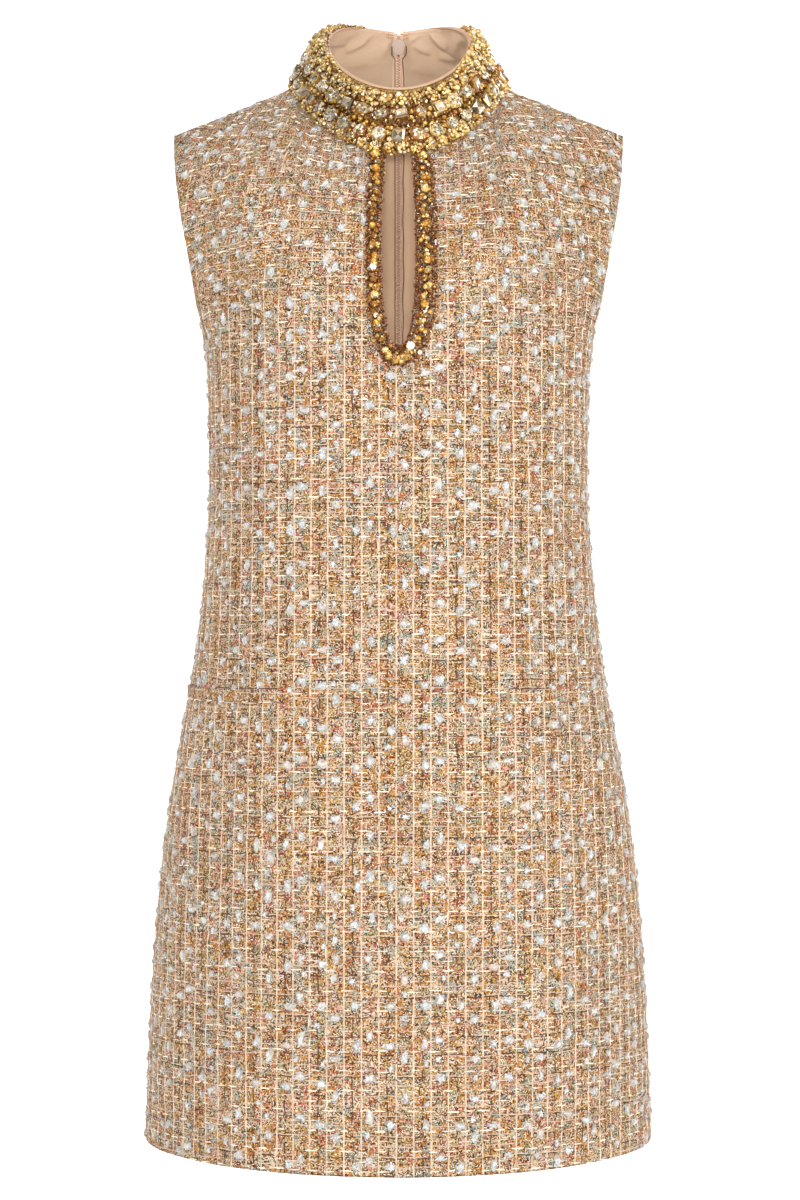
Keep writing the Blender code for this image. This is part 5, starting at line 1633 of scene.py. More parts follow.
def filigree(g, low, high, pitch, out, palette, rng, size=(0.0014, 0.0026), fewer=1.0):
    """Small bright plates and petals standing at odd angles over a row."""
    for share in np.linspace(low, high, max(int((high - low) * 0.054 / pitch) + 1, 1)):
        phi = spaced(share, pitch, start=rng.random())
        phi = phi[rng.random(len(phi)) < fewer]
        k = len(phi)
        at, n, a, _ = collar_frame(phi + rng.normal(0, 0.012, k), share + rng.normal(0, 0.014, k),
                                   TWEED + out * rng.uniform(0.55, 1.0, k))
        beads(g, at, n, a, rng.uniform(*size, k), palette, rng, SEED_BEAD, flat=0.34, tilt=0.9, base_share=0.3)


def upper_gold(g, rng):
    filler(g, 0.685, 0.93, 0.0032, 0.0010, (0.0015, 0.0021), DEEP_PAINTED_SHADE, rng)
    nuggets(g, 0.700, 0.880, 0.0112, 0.0094, GOLDS, rng, sub=(0.0013, 0.0023), stone_share=0.34, radius=0.0048)
    filigree(g, 0.70, 0.85, 0.0058, 0.0084, GOLDS, rng)
    # beads heaped up to the rim at the sides, and a brown line of them inside it
    for share, lift, size, palette, pitch in ((0.90, 0.0012, (0.0013, 0.0019), DEEP_PAINTED_SHADE, 0.0028),
                                              (0.94, 0.0014, (0.0013, 0.0019), DEEP_PAINTED_SHADE, 0.0028),
                                              (0.985, 0.0012, (0.0013, 0.0019), AMBERS, 0.0030),
                                              (1.015, 0.0004, (0.0014, 0.0021), GOLDS + AMBERS, 0.0036),
                                              (1.030, 0.0026, (0.0015, 0.0023), GOLDS, 0.0040)):
        phi = spaced(min(share, 1.0), pitch, start=rng.random())
        phi = phi[(np.abs(phi) > 0.55) & (phi > -2.62) & (phi < 2.16)]
        k = len(phi)
        ends = smoothstep((np.abs(phi) - 0.55) / 0.6)
        at, n, a, _ = collar_frame(phi, 0.885 + (share - 0.885) * ends + rng.normal(0, 0.008, k),
                                   TWEED + lift + (1 - ends) * 0.001 + rng.normal(0, 0.0004, k))
        beads(g, at, n, a, rng.uniform(*size, k), palette, rng, ROUND_BEAD, tilt=0.6)
    wide = np.random.default_rng(8)
    nuggets(g, 0.90, 1.00, 0.0108, 0.0080, GOLDS, wide, sub=(0.0013, 0.0022), stone_share=0.25, radius=0.0042,
            only=lambda phi: (np.abs(phi) > 0.95) & (phi > -2.55) & (phi < 2.12))
    phi = spaced(1.0, 0.0026, start=0.2)
    phi = phi[(phi < -1.35) & (phi > -2.66)]
    k = len(phi)
    at, n, a, _ = collar_frame(phi, 1.035 + rng.normal(0, 0.008, k), TWEED - 0.0020 + rng.normal(0, 0.0004, k))
    beads(g, at, n, a, rng.uniform(0.0009, 0.0014, k), BROWNS + [((206, 176, 148), 14)], rng, SEED_BEAD)


def lower_gold(g, rng):
    filler(g, -0.010, 0.105, 0.0031, 0.0008, (0.0014, 0.0020), DEEP_PAINTED_SHADE, rng)
    nuggets(g, 0.000, 0.100, 0.0104, 0.0070, GOLDS, rng, sub=(0.0012, 0.0021), stone_share=0.28, radius=0.0038)
    filigree(g, 0.00, 0.10, 0.0064, 0.0066, GOLDS + AMBERS, rng)
    for share, pitch, sizes in ((-0.020, 0.0036, (0.0011, 0.0018)), (-0.050, 0.0090, (0.0010, 0.0015))):
        phi = spaced(0.0, pitch, start=rng.random())
        k = len(phi)
        at, n, a, _ = collar_frame(phi, share + rng.normal(0, 0.012, k), TWEED + 0.0016 + rng.normal(0, 0.0003, k))
        beads(g, at, n, a, rng.uniform(*sizes, k), AMBERS + [((180, 96, 38), 12)], rng, ROUND_BEAD, tilt=0.6)


def middle_gold(g, rng):
    filler(g, 0.315, 0.435, 0.0029, 0.0008, (0.0014, 0.0020), DEEP_PAINTED_SHADE, rng)
    phi = spaced(0.375, 0.0056, start=0.1)
    at, n, a, _ = collar_frame(phi, 0.375 + rng.normal(0, 0.024, len(phi)), np.full(len(phi), TWEED + 0.0030))
    beads(g, at, n, a, rng.uniform(0.0014, 0.0023, len(phi)), AMBERS, rng)
    filigree(g, 0.34, 0.41, 0.0064, 0.0052, AMBERS + GOLDS, rng, size=(0.0012, 0.0022))


def round_stones_of(g, low, high, rng):
    """Amber and brown beads packed round the stones, some standing nearly as high; the lowest layer's dark brown is
    painted shade.
    """
    filler(g, low, high, 0.0029, 0.0008, (0.0015, 0.0021), DEEP_PAINTED_SHADE, rng)
    filler(g, low + 0.01, high - 0.01, 0.0062, 0.0026, (0.0012, 0.0019), AMBERS + BROWNS, rng, shape=ROUND_BEAD)


def lower_crystals(g, rng):
    round_stones_of(g, 0.115, 0.315, rng)
    crystal_row(g, 0.215, 0.0148, 0.0058, 0.0088, rng, start=0.5, squares=0.30)
    filigree(g, 0.125, 0.305, 0.0090, 0.0066, AMBERS + GOLDS, rng, size=(0.0010, 0.0019))


def upper_crystals(g, rng):
    round_stones_of(g, 0.435, 0.675, rng)
    crystal_row(g, 0.550, 0.0150, 0.0057, 0.0088, rng, start=0.15, squares=0.32)
    filigree(g, 0.450, 0.665, 0.0090, 0.0066, AMBERS + GOLDS, rng, size=(0.0010, 0.0019))


bead_row("collar_gold_beads_upper", "gold", upper_gold, GOLD)
bead_row("collar_gold_beads_lower", "gold", lower_gold, GOLD)
bead_row("collar_gold_beads_middle", "gold", middle_gold, AMBER)
bead_row("collar_crystals_lower", "crystal", lower_crystals, CRYSTAL)
bead_row("collar_crystals_upper", "crystal", upper_crystals, CRYSTAL)


# ------------------------------------------------------------------ the keyhole's border
def front_at(x, z, offset):
    """Points off the front's outer face, by x and height, with their normals."""
    ax, e = np.abs(x), 0.002
    here = np.stack((ax, depth(FRONT, ax, z), z), -1)
    beside = np.stack((ax + e, depth(FRONT, ax + e, z), z), -1)
    above = np.stack((ax, depth(FRONT, ax, z + e), z + e), -1)
    n = unit(np.cross(beside - here, above - here))
    at = here + n * (TWEED + offset)[..., None]
    flip = np.stack((np.where(x < 0, -1.0, 1.0), np.ones_like(x), np.ones_like(x)), -1)
    return at * flip, n * flip


def keyhole_line(steps):
    """Points evenly along the keyhole's edge, down one side, round its foot and up the other, with the way out."""
    z = np.concatenate((np.linspace(-0.0600, -0.2010, 60), np.linspace(-0.2018, -0.2150, 24)))
    x = keyhole(z)
    half = np.stack((x, z), -1)
    path = np.concatenate((half, [(0.0, -0.2153)], half[::-1] * np.array((-1, 1))))
    length = np.concatenate(([0], np.cumsum(np.linalg.norm(np.diff(path, axis=0), axis=1))))
    s = np.linspace(0, length[-1], steps) if np.ndim(steps) == 0 else steps * length[-1]
    p = np.stack((np.interp(s, length, path[:, 0]), np.interp(s, length, path[:, 1])), -1)
    q = np.stack((np.interp(s + 0.0022, length, path[:, 0]), np.interp(s + 0.0022, length, path[:, 1])), -1)
    o = np.stack((np.interp(s - 0.0022, length, path[:, 0]), np.interp(s - 0.0022, length, path[:, 1])), -1)
    t = unit(q - o)
    return p, np.stack((-t[:, 1], t[:, 0]), -1), length[-1]


KEY_TOTAL = keyhole_line(3)[2]


def keyhole_beads(g, rng):
    def lane(distance, pitch, jitter, offset):
        """distance from the edge, wider on the wearer's left side (the picture's right)"""
        count = int(KEY_TOTAL / pitch)
        s = (np.arange(count) + 0.5) / count
        p, out, _ = keyhole_line(s + rng.normal(0, jitter / KEY_TOTAL, count))
        wide = np.where(p[:, 0] > 0, 1.16, 0.80)
        d = distance * wide + rng.normal(0, jitter, count)
        q = p + out * d[:, None]
        at, n = front_at(q[:, 0], q[:, 1], np.full(count, offset) + rng.uniform(-0.0003, 0.0005, count))
        around = unit(np.stack((out[:, 0], 0 * out[:, 0], out[:, 1]), -1))
        top = q[:, 1] < -0.0615
        return at[top], n[top], around[top], q[top]
    for distance, size in ((0.0000, (0.0008, 0.0011)), (0.0014, (0.0009, 0.0013)), (0.0032, (0.0010, 0.0014)), (0.0052, (0.0010, 0.0014)),
                           (0.0074, (0.0010, 0.0014)), (0.0094, (0.0010, 0.0014)), (0.0114, (0.0010, 0.0014)),
                           (0.0132, (0.0009, 0.0013))):
        at, n, a, _ = lane(distance, 0.0023, 0.0005, 0.0007)
        beads(g, at, n, a, rng.uniform(*size, len(at)), BROWNS, rng, SEED_BEAD)
    # the bright middle lane: faceted amber and gold beads, singly and in twos
    for distance, pitch, size, palette, lift in ((0.0066, 0.0062, (0.0022, 0.0035), AMBERS[:4] + AMBERS[5:], 0.0022),
                                                 (0.0096, 0.0092, (0.0019, 0.0027), AMBERS + BROWNS[:3], 0.0018),
                                                 (0.0036, 0.0110, (0.0016, 0.0022), AMBERS + BROWNS[:3], 0.0016)):
        at, n, a, _ = lane(distance, pitch, 0.0009, lift)
        beads(g, at, n, a, rng.uniform(*size, len(at)), palette, rng, ROUND_BEAD, tilt=0.8)
    def fewer(at, n, a, q, share):
        some = (q[:, 0] > 0) | (rng.random(len(q)) < share)     # fewer bright beads on the wearer's right: painted shade on that side
        return at[some], n[some], a[some], q[some]
    at, n, a, _ = fewer(*lane(0.0070, 0.0084, 0.0016, 0.0038), 0.4)
    beads(g, at, n, a, rng.uniform(0.0012, 0.0020, len(at)), GOLDS, rng, ROUND_BEAD, tilt=0.8)
    at, n, a, _ = fewer(*lane(0.0068, 0.0052, 0.0024, 0.0040), 0.6)
    beads(g, at, n, a, rng.uniform(0.0011, 0.0020, len(at)), AMBERS + GOLDS, rng, SEED_BEAD, flat=0.34, tilt=0.9,
          base_share=0.3)
    at, n, a, _ = lane(0.0122, 0.0060, 0.0012, 0.0016)
    beads(g, at, n, a, rng.uniform(0.0010, 0.0016, len(at)), AMBERS + BROWNS * 2, rng, ROUND_BEAD, tilt=0.8)
    at, n, a, q = lane(0.0070, 0.0210, 0.0012, 0.0036)
    stones(g, "round", at, n, a, rng.uniform(0.0017, 0.0023, len(at)), rng, SMOKES)
    # the foot: beads packed right round under the opening
    spots = []
    for row, z in enumerate(np.arange(-0.2132, -0.2290, -0.0020)):
        half = 0.0138 * math.sqrt(max(1 - ((z + 0.2160) / 0.0135) ** 2, 0.05)) if z < -0.2160 else 0.0050
        for x in np.arange(-half, half, 0.0023):
            spots.append((x + rng.normal(0, 0.0003), z + rng.normal(0, 0.0003)))
    spots = np.array(spots)
    at, n = front_at(spots[:, 0], spots[:, 1], np.full(len(spots), 0.0008))
    a = np.tile((1.0, 0, 0), (len(at), 1))
    beads(g, at, n, a, rng.uniform(0.0010, 0.0014, len(at)), BROWNS, rng, SEED_BEAD)
    k = 15
    turn, far = np.linspace(math.pi * 1.03, math.pi * 1.97, k), rng.uniform(0.0058, 0.0100, k)
    x, z = np.cos(turn) * far * 1.15, -0.2150 + np.sin(turn) * far
    at, n = front_at(x, z, np.full(k, 0.0026))
    beads(g, at, n, np.tile((1.0, 0, 0), (k, 1)), rng.uniform(0.0018, 0.0029, k), AMBERS + GOLDS[:2], rng, ROUND_BEAD, tilt=0.8)
    # pale flat seed beads that stand in for glints: painted highlights, fewer on the wearer's right
    at, n, a, q = fewer(*lane(0.0064, 0.0074, 0.0030, 0.0042), 0.35)
    beads(g, at, n, a, rng.uniform(0.0007, 0.0013, len(at)), [((250, 236, 196), 5), ((255, 252, 240), 4), ((206, 196, 170), 3)],
          rng, SEED_BEAD, flat=0.4, tilt=1.0, base_share=0.3)
    for x, z, size in ((-0.0192, -0.1548, 0.0028), (0.0090, -0.2128, 0.0034), (-0.0168, -0.1900, 0.0018)):
        at, n = front_at(np.array([x]), np.array([z]), np.array([0.0040]))
        stones(g, "round", at, n, np.array([[1.0, 0, 0]]), size, rng, [((255, 255, 252), 5), ((236, 230, 214), 2)])


bead_row("keyhole_beading", "bronze", keyhole_beads, AMBER)


def keyhole_piping():
    """The thin lining edge turned out round the keyhole; on the wearer's left it is thicker and dark brown, a painted
    shadow along that edge.
    """
    p, out, _ = keyhole_line(240)
    q = p + out * 0.0004
    at, n = front_at(q[:, 0], q[:, 1], np.full(len(q), -0.0006))
    wobble = 0.00056 + 0.00012 * LUMP_A(np.arange(len(q)) * 0.35, 0 * np.arange(len(q)))
    for name, side, cloth, wider in (("keyhole_piping_right", p[:, 0] <= 0.0002, KEY_PIPING, 1.0),
                                     ("keyhole_piping_left", p[:, 0] >= -0.0002, KEY_SHADE, 1.7)):
        v, f = tube(at[side], wobble[side] * wider, sides=8, up=(0, -1, 0))
        u = np.repeat(np.linspace(0, KEY_TOTAL / 2, side.sum()), 8)
        w = np.tile(np.arange(8) * 0.0008, side.sum())
        on_dress(mesh_piece(name, v, f, cloth, uvs=np.stack((u, w), -1)), "lining")


keyhole_piping()


# ------------------------------------------------------------------ the zip
def back_line(x, z):
    """Inner face and outward normal of the back beside its middle, up through the collar."""
    x, z = np.broadcast_arrays(np.asarray(x, float), np.asarray(z, float))
    ax, e = np.abs(x), 0.002
    here = np.stack((ax, depth(BACK, ax, z), z), -1)
    beside = np.stack((ax + e, depth(BACK, ax + e, z), z), -1)
    above = np.stack((ax, depth(BACK, ax, z + e), z + e), -1)
    n = unit(np.cross(above - here, beside - here))
    flip = np.stack((np.where(x < 0, -1.0, 1.0), np.ones_like(x), np.ones_like(x)), -1)
    return here * flip, n * flip


def zip_spine(x, count):
    """Points and normals at x from the zip's foot to near the collar's top, evenly spaced."""
    z = np.linspace(ZIP_FOOT, float(top_point(BACK, np.array(0.0))[2]) - 0.001, 400)
    p, n = back_line(np.full(400, x), z)
    shares = np.linspace(0.03, 0.985, 80)
    phi = math.pi - np.arcsin(np.abs(x) / 0.07)
    q, m = collar_point(np.full(80, phi), shares), collar_normal(np.full(80, phi), shares)
    q[:, 0] = x
    m = m * np.where(x < 0, (-1.0, 1, 1), (1.0, 1, 1))
    p, n = np.concatenate((p, q)), np.concatenate((n, m))
    length = np.concatenate(([0], np.cumsum(np.linalg.norm(np.diff(p, axis=0), axis=1))))
    s = np.linspace(0, length[-1], count)
    at = np.stack([np.interp(s, length, p[:, k]) for k in range(3)], -1)
    normal = unit(np.stack([np.interp(s, length, n[:, k]) for k in range(3)], -1))
    return at, normal, s


def zip_tape_piece(name, sign, node):
    xs = [0.0004, 0.0015, 0.0030, 0.0042, 0.0062, 0.0085, 0.0104, 0.0112]
    lift = [0.0, 0.00004, 0.00012, 0.0, 0.00003, 0.0, 0.00012, 0.0]
    count = 200
    columns = [zip_spine(sign * x, count) for x in xs]
    front_face = np.stack([at - n * (SEAM + TAPE + up) for (at, n, _), up in zip(columns, lift)], 1)
    back_face = np.stack([at - n * SEAM for at, n, _ in columns], 1)[:, ::-1]
    grid = np.concatenate((front_face, back_face, front_face[:, :1]), 1)
    u = np.concatenate((xs, xs[::-1], xs[:1]))
    U = np.repeat(u[None], count, 0)
    V = np.repeat(columns[0][2][:, None], len(u), 1)
    ring = len(u) - 1
    index = np.arange(count * ring).reshape(count, ring)
    index = np.concatenate((index, index[:, :1]), 1)
    faces = [tuple(f) for f in grid_faces(count, ring + 1, flip=sign > 0, index=index)]
    faces += [tuple(index[0, :-1]), tuple(index[-1, :-1][::-1])]
    obj = mesh_piece(name, grid[:, :-1].reshape(-1, 3), faces, ZIP_TAPE,
                     uvs=np.stack((U[:, :-1], V[:, :-1]), -1).reshape(-1, 2))
    return on_dress(obj, "zip", node), float(columns[0][2][-1])


def seam_allowance():
    """The back seam's own cloth behind it, from the hem to the zip's foot."""
    z = np.linspace(HEM + 0.0012, ZIP_FOOT + 0.004, 120)
    across = np.array((-0.0060, -0.0030, 0.0, 0.0030, 0.0060))
    grid = []
    for x in across:
        at, n = back_line(np.full(len(z), x), z)
        grid.append(at - n * (0.00022 + 0.00006 * math.cos(x * 500)))
    grid = np.stack(grid, 1)
    U = np.repeat(across[None], len(z), 0) + 1.1
    V = np.repeat(z[:, None], len(across), 1)
    obj = mesh_piece("back_seam_allowance", grid.reshape(-1, 3), grid_faces(len(z), len(across)), TWEED_CLOTH,
                     uvs=np.stack((U, V), -1).reshape(-1, 2))
    return on_dress(obj, "tweed")


seam_allowance()
zip_tape_left, zip_length = zip_tape_piece("zip_tape_left_cloth", 1, "zip_tape_left")
zip_tape_right, _ = zip_tape_piece("zip_tape_right_cloth", -1, "zip_tape_right")


def zip_coil_piece():
    """A nylon coil: two facing rows of loops, each turn a small bent tube, and the cord of stitches on each side."""
    pitch = 0.0021
    at, n, s = zip_spine(0.0, 400)
    keep = s < s[-1] - 0.0165
    length = s[keep][-1]
    turns = int(length / pitch)
    verts, faces, count = [], [], 0
    sections = [(0.0004, 0.0016), (-0.0004, 0.0017), (0.0011, 0.0014), (0.0021, 0.0009), (0.0026, 0.0003)]
    for sign in (1, -1):
        where = (np.arange(turns) + (0.25 if sign > 0 else 0.75)) * pitch
        p = np.stack([np.interp(where, s, at[:, k]) for k in range(3)], -1)
        m = unit(np.stack([np.interp(where, s, n[:, k]) for k in range(3)], -1))
        x = np.array((1.0, 0, 0))
        along = np.cross(m, x)
        line = [(-0.0003, 0.0013), (0.0006, 0.0017), (0.0015, 0.0014), (0.0024, 0.0007), (0.0027, 0.0001)]
        r = [0.00034, 0.00046, 0.00046, 0.00042, 0.00032]
        rings = []
        for (dx, out), rad in zip(line, r):
            centre = p + x * sign * dx - m * (LINING_GAP + out)[..., None] if np.ndim(out) else \
                p + x * sign * dx - m * (LINING_GAP + out)
            ring = [centre + along * (rad * math.cos(a)) - (m * 0.6 + x * sign * 0.4) * (rad * math.sin(a))
                    for a in (0, math.pi / 2, math.pi, 3 * math.pi / 2)]
            rings.append(np.stack(ring, 1))
        block = np.stack(rings, 1).reshape(turns, -1, 3)
        template = []
        for k in range(len(line) - 1):
            for j in range(4):
                template.append((k * 4 + j, k * 4 + (j + 1) % 4, (k + 1) * 4 + (j + 1) % 4, (k + 1) * 4 + j))
        template += [(3, 2, 1, 0), (16, 17, 18, 19)]
        verts.append(block.reshape(-1, 3))
        for t in range(turns):
            base = count + t * 20
            faces += [tuple(i + base for i in f) for f in template]
        count += turns * 20
        cord_at, cord_n, cord_s = zip_spine(sign * 0.0021, 160)
        cord_keep = cord_s < length
        v, f = tube(cord_at[cord_keep] - cord_n[cord_keep] * (LINING_GAP + 0.0003), 0.00042, sides=6, up=(1, 0, 0))
        verts.append(v)
        faces += [tuple(i + count for i in face) for face in f]
        count += len(v)
    obj = mesh_piece("zip_coil_turns", np.concatenate(verts), faces, COIL_NYLON)
    on_dress(obj, "zip", "zip_coil")
    # the lining's edge on each side of the coil, painted as a thin dark line of shadow, parting round the slider
    gather = Gather()
    for sign in (1, -1):
        at, n, s = zip_spine(sign * 0.0035, 320)
        sway = 0.00075 * LUMP_B(s * 46 + 3, 0 * s) + 0.0003 * np.sin(s * 190) if sign > 0 else 0.0001 * LUMP_B(s * 60, 0 * s)
        nudge = 0.0004 if sign > 0 else 0.0005
        part = smoothstep((s - s[-1] + 0.0190) / 0.0025) * 0.0027 * (1 - 0.5 * smoothstep((s - s[-1] + 0.0105) / 0.004))
        lift = LINING_GAP + LINING * 0.6 + part / 0.0027 * 0.0009
        wave = (sway + nudge + sign * part)[:, None] * np.array((1.0, 0, 0))
        keep = (s > 0.004) & (s < s[-1] - 0.0085)
        v, f = tube((at - n * lift[:, None] + wave)[keep], 0.00046 if sign > 0 else 0.00038, sides=5, up=(1, 0, 0))
        gather.add(v, f, linear((112, 72, 46)))
    # the shaded groove the coil's turns bridge
    at, n, s = zip_spine(0.0, 200)
    keep = s < s[-1] - 0.0165
    v, f = tube((at - n * (LINING_GAP + 0.0003))[keep], 0.0008, sides=6, up=(1, 0, 0))
    gather.add(v, f, linear((150, 108, 82)))
    return on_dress(gather.build("zip_edge_shadow_lines", THREAD, smooth=True), "zip")


zip_coil_piece()


def swap_material(node, material):
    """A CAD node whose shape is right keeps it, and gets a better material."""
    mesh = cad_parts[node].data
    mesh.materials.clear()
    mesh.materials.append(material)


for node in ("zip_slider", "zip_pull", "zip_bottom_stop"):
    swap_material(node, ENAMEL)
for node in ("collar_hook", "collar_eye"):
    swap_material(node, WRAPPED)


def hook_threads():
    """Stitches over the hook's and the eye's ends, and a loose end on each side."""
    gather = Gather()
    rng = np.random.default_rng(77)
    for node, sign in (("collar_hook", -1), ("collar_eye", 1)):
        lo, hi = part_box(node)
        x_end = lo[0] if sign < 0 else hi[0]
        for k in range(9):
            x = x_end - sign * (0.0003 + 0.00055 * (k % 5)) + rng.normal(0, 0.0001)
            z_mid = (lo[2] + hi[2]) / 2 + (0.0013 if k < 5 else -0.0013)
            y_mid = (lo[1] + hi[1]) / 2
            turn = np.linspace(0, 2 * math.pi, 11)[:-1]
            ring = np.stack((x + rng.normal(0, 0.00012) * np.sin(turn) + 0.0002 * np.cos(turn),
                             y_mid + 0.0002 + 0.00085 * np.cos(turn), z_mid + 0.00085 * np.sin(turn)), -1)
            v, f = tube(ring, 0.00017, sides=5, closed=True, up=(1, 0, 0))
            gather.add(v, f, linear((214, 178, 152)) * rng.uniform(0.85, 1.1))
        start = np.array((x_end + sign * 0.0003, (lo[1] + hi[1]) / 2, hi[2] - 0.0008))
        t = np.linspace(0, 1, 9)[:, None]
        line = start + t * np.array((sign * 0.0035, -0.0010, 0.0016)) + np.sin(t * 5 + sign) * np.array((0.0003, 0, 0.0007))
        v, f = tube(line, 0.00014, sides=5, up=(0, 1, 0))
        gather.add(v, f, linear((214, 178, 152)))
    # a bar of stitches across the gap above the zip
    top = collar_at(np.array(math.pi - 0.004), 0.975, -0.0016)
    foot = collar_at(np.array(math.pi - 0.004), 0.86, -0.0016)
    bar = np.linspace(0, 1, 8)[:, None] * (top - foot) + foot
    bar[:, 0] = 0.0002 * np.sin(np.arange(8) * 1.7)
    v, f = tube(bar, 0.0008, sides=6, up=(1, 0, 0))
    gather.add(v, f, linear((190, 156, 130)))
    # worn loops of thread standing over the collar's top edge
    for x, high, wide, lean in ((0.0022, 0.0036, 0.0013, 0.0006), (0.0050, 0.0026, 0.0011, -0.0004),
                                (-0.0058, 0.0016, 0.0014, 0.0005)):
        foot = collar_at(np.array(math.pi - math.asin(abs(x) / 0.058)) * np.sign(x), 0.97, -0.0012)
        turn = np.linspace(0, 2 * math.pi, 25)[:-1]
        ring = foot + np.stack((wide * np.sin(turn) + lean * (1 - np.cos(turn)), 0.0004 * np.sin(2 * turn),
                                high * (0.75 - np.cos(turn))), -1)
        v, f = tube(ring, 0.00030, sides=6, closed=True, up=(0, 1, 0))
        gather.add(v, f, linear((226, 192, 166)))
    return on_dress(gather.build("hook_eye_threads", THREAD, smooth=True), "zip")


hook_threads()


# ------------------------------------------------------------------ pocket welts
def welt(name, sign, node):
    """A narrow folded strip along the pocket's mouth: flush at its foot, lipped at the top."""
    lo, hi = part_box(node)
    cloth = halves["front", sign]
    rows, columns = cloth.U.shape
    z_rows = np.abs(cloth.P[:, :, 2] - (WELT_TOP + WELT_FOOT) / 2).argmin(0)
    x_of = np.abs(cloth.P[z_rows, np.arange(columns), 0])
    u_of = cloth.U[z_rows, np.arange(columns)]
    v_mid = float(np.interp((abs(lo[0]) + abs(hi[0])) / 2, x_of, cloth.V[z_rows, np.arange(columns)]))
    u0, u1 = np.interp(min(abs(lo[0]), abs(hi[0])), x_of, u_of), np.interp(max(abs(lo[0]), abs(hi[0])) - 0.0012, x_of, u_of)
    count = 150
    u = np.linspace(u0, u1, count)
    profile = [(-0.0050, -0.0002), (-0.0048, 0.0006), (-0.0038, 0.0012), (-0.0016, 0.0014), (0.0008, 0.0015),
               (0.0028, 0.0018), (0.0040, 0.0022), (0.0049, 0.0021), (0.0054, 0.0014), (0.0052, 0.0006), (0.0046, 0.0)]
    v_of_x = np.interp(u, u_of, cloth.V[z_rows, np.arange(columns)])
    U = np.repeat(u[None], len(profile), 0)
    V = np.array([v_of_x + dv + 0.0003 * LUMP_C(u * 60, dv * 900 + 0 * u) for dv, _ in profile])
    u_end = u1 if sign < 0 else float(np.interp(0.1450, x_of, u_of))
    ends = smoothstep((u - u0) / 0.002) * smoothstep((u_end - u) / (0.002 if sign < 0 else 0.014))
    sunk = -0.0003 if sign < 0 else -0.0014
    H = np.array([sunk + (h - sunk + 0.0009 * (LUMP_A(u / 0.0032, dv / 0.003 + 0 * u))) * ends for dv, h in profile])
    at, _ = cloth.place((U * sign).ravel(), V.ravel(), H.ravel())
    run = np.concatenate(([0], np.cumsum([math.hypot(b[0] - a[0], b[1] - a[1]) for a, b in zip(profile, profile[1:])])))
    uvs = np.stack(((U * sign + 1.90), np.repeat(run[:, None], count, 1) - 0.5560), -1).reshape(-1, 2)
    obj = mesh_piece(name, at, grid_faces(len(profile), count, flip=sign < 0), TWEED_CLOTH, uvs=uvs)
    on_dress(obj, "tweed", node)
    # the shadowed mouth above the lip, and a short bar of stitches at each end
    gather = Gather()
    rng = np.random.default_rng(44 + sign)
    at_u = u0 + 0.001
    reach = u_end - (0.001 if sign < 0 else 0.003)
    while at_u < reach:      # the shadow shows in broken lengths between the yarns
        long = rng.uniform(0.004, 0.011)
        t = np.linspace(at_u, min(at_u + long, reach), 12)
        v_line = np.interp(t, u_of, cloth.V[z_rows, np.arange(columns)]) + 0.0057 + 0.00025 * np.sin(t * 700 + sign)
        p, _ = cloth.place(t * sign, v_line, np.full(12, 0.0002))
        v, f = tube(p, (0.00105 if sign < 0 else 0.00092) * np.sin(np.linspace(0.35, math.pi - 0.35, 12)) ** 0.5, sides=5, up=(0, 0, 1))
        red = 0.18 if sign < 0 or at_u < (u0 + reach) / 2 else 0.85
        gather.add(v, f, linear((84, 52, 32) if rng.random() > red else (164, 78, 54)))
        at_u += long + rng.uniform(0.0006, 0.0022)
    at_u = u0 + 0.001
    while at_u < reach:      # and its foot is sewn down with cream and tan stitches
        long = rng.uniform(0.003, 0.007)
        t = np.linspace(at_u, min(at_u + long, reach), 8)
        v_line = np.interp(t, u_of, cloth.V[z_rows, np.arange(columns)]) - 0.0046 + 0.0002 * np.sin(t * 900)
        p, _ = cloth.place(t * sign, v_line, np.full(8, 0.0010))
        v, f = tube(p, 0.00040, sides=5, up=(0, 0, 1))
        gather.add(v, f, linear((236, 214, 184) if rng.random() < 0.6 else (140, 100, 64)))
        at_u += long + rng.uniform(0.001, 0.004)
    for end in (u0 + 0.0004, u1 - 0.0004):
        for k in range(7):
            dv = np.linspace(-0.0046 + k * 0.0015, -0.0036 + k * 0.0015, 4)
            v0 = float(np.interp(end, u_of, cloth.V[z_rows, np.arange(columns)]))
            p, _ = cloth.place(np.full(4, end * sign), v0 + dv, np.array((0.0, 0.0011, 0.0011, 0.0)))
            v, f = tube(p, 0.0002, sides=5, up=(1, 0, 0))
            gather.add(v, f, linear((196, 150, 104)))
    on_dress(gather.build(name + "_stitches", THREAD, smooth=True), "tweed")
    return obj, float(u1 - u0)


welt_left, welt_length = welt("pocket_welt_left_cloth", 1, "pocket_welt_left")
welt_right, _ = welt("pocket_welt_right_cloth", -1, "pocket_welt_right")


# ------------------------------------------------------------------ the cloth pieces' flat sizes
flats = {}
for obj, parts, on in ((front, [halves["front", 1], halves["front", -1]], ["back_tweed_left", "back_tweed_right"]),
                       (back_left, [halves["back", 1]], ["front_tweed", "zip_tape_left_cloth"]),
                       (back_right, [halves["back", -1]], ["front_tweed", "zip_tape_right_cloth"])):
    size, area = flat_size(parts)
    flats[obj.name] = (size, area)
for obj, key, whole in ((front_lining, "front_tweed", 1.0), (back_lining_left, "back_tweed_left", 1.0),
                        (back_lining_right, "back_tweed_right", 1.0)):
    (w, l), area = flats[key]
    flats[obj.name] = ((w, l - 0.024), area - w * 0.024)
    l - 0.024
    area - w * 0.024
flats["collar_lining_cloth"], flats["collar_tweed"] = (collar_lining_flat, None), (collar_flat, None)
print("flat sizes", {k: v for k, v in flats.items()}, "tape", zip_length, "welt", welt_length)


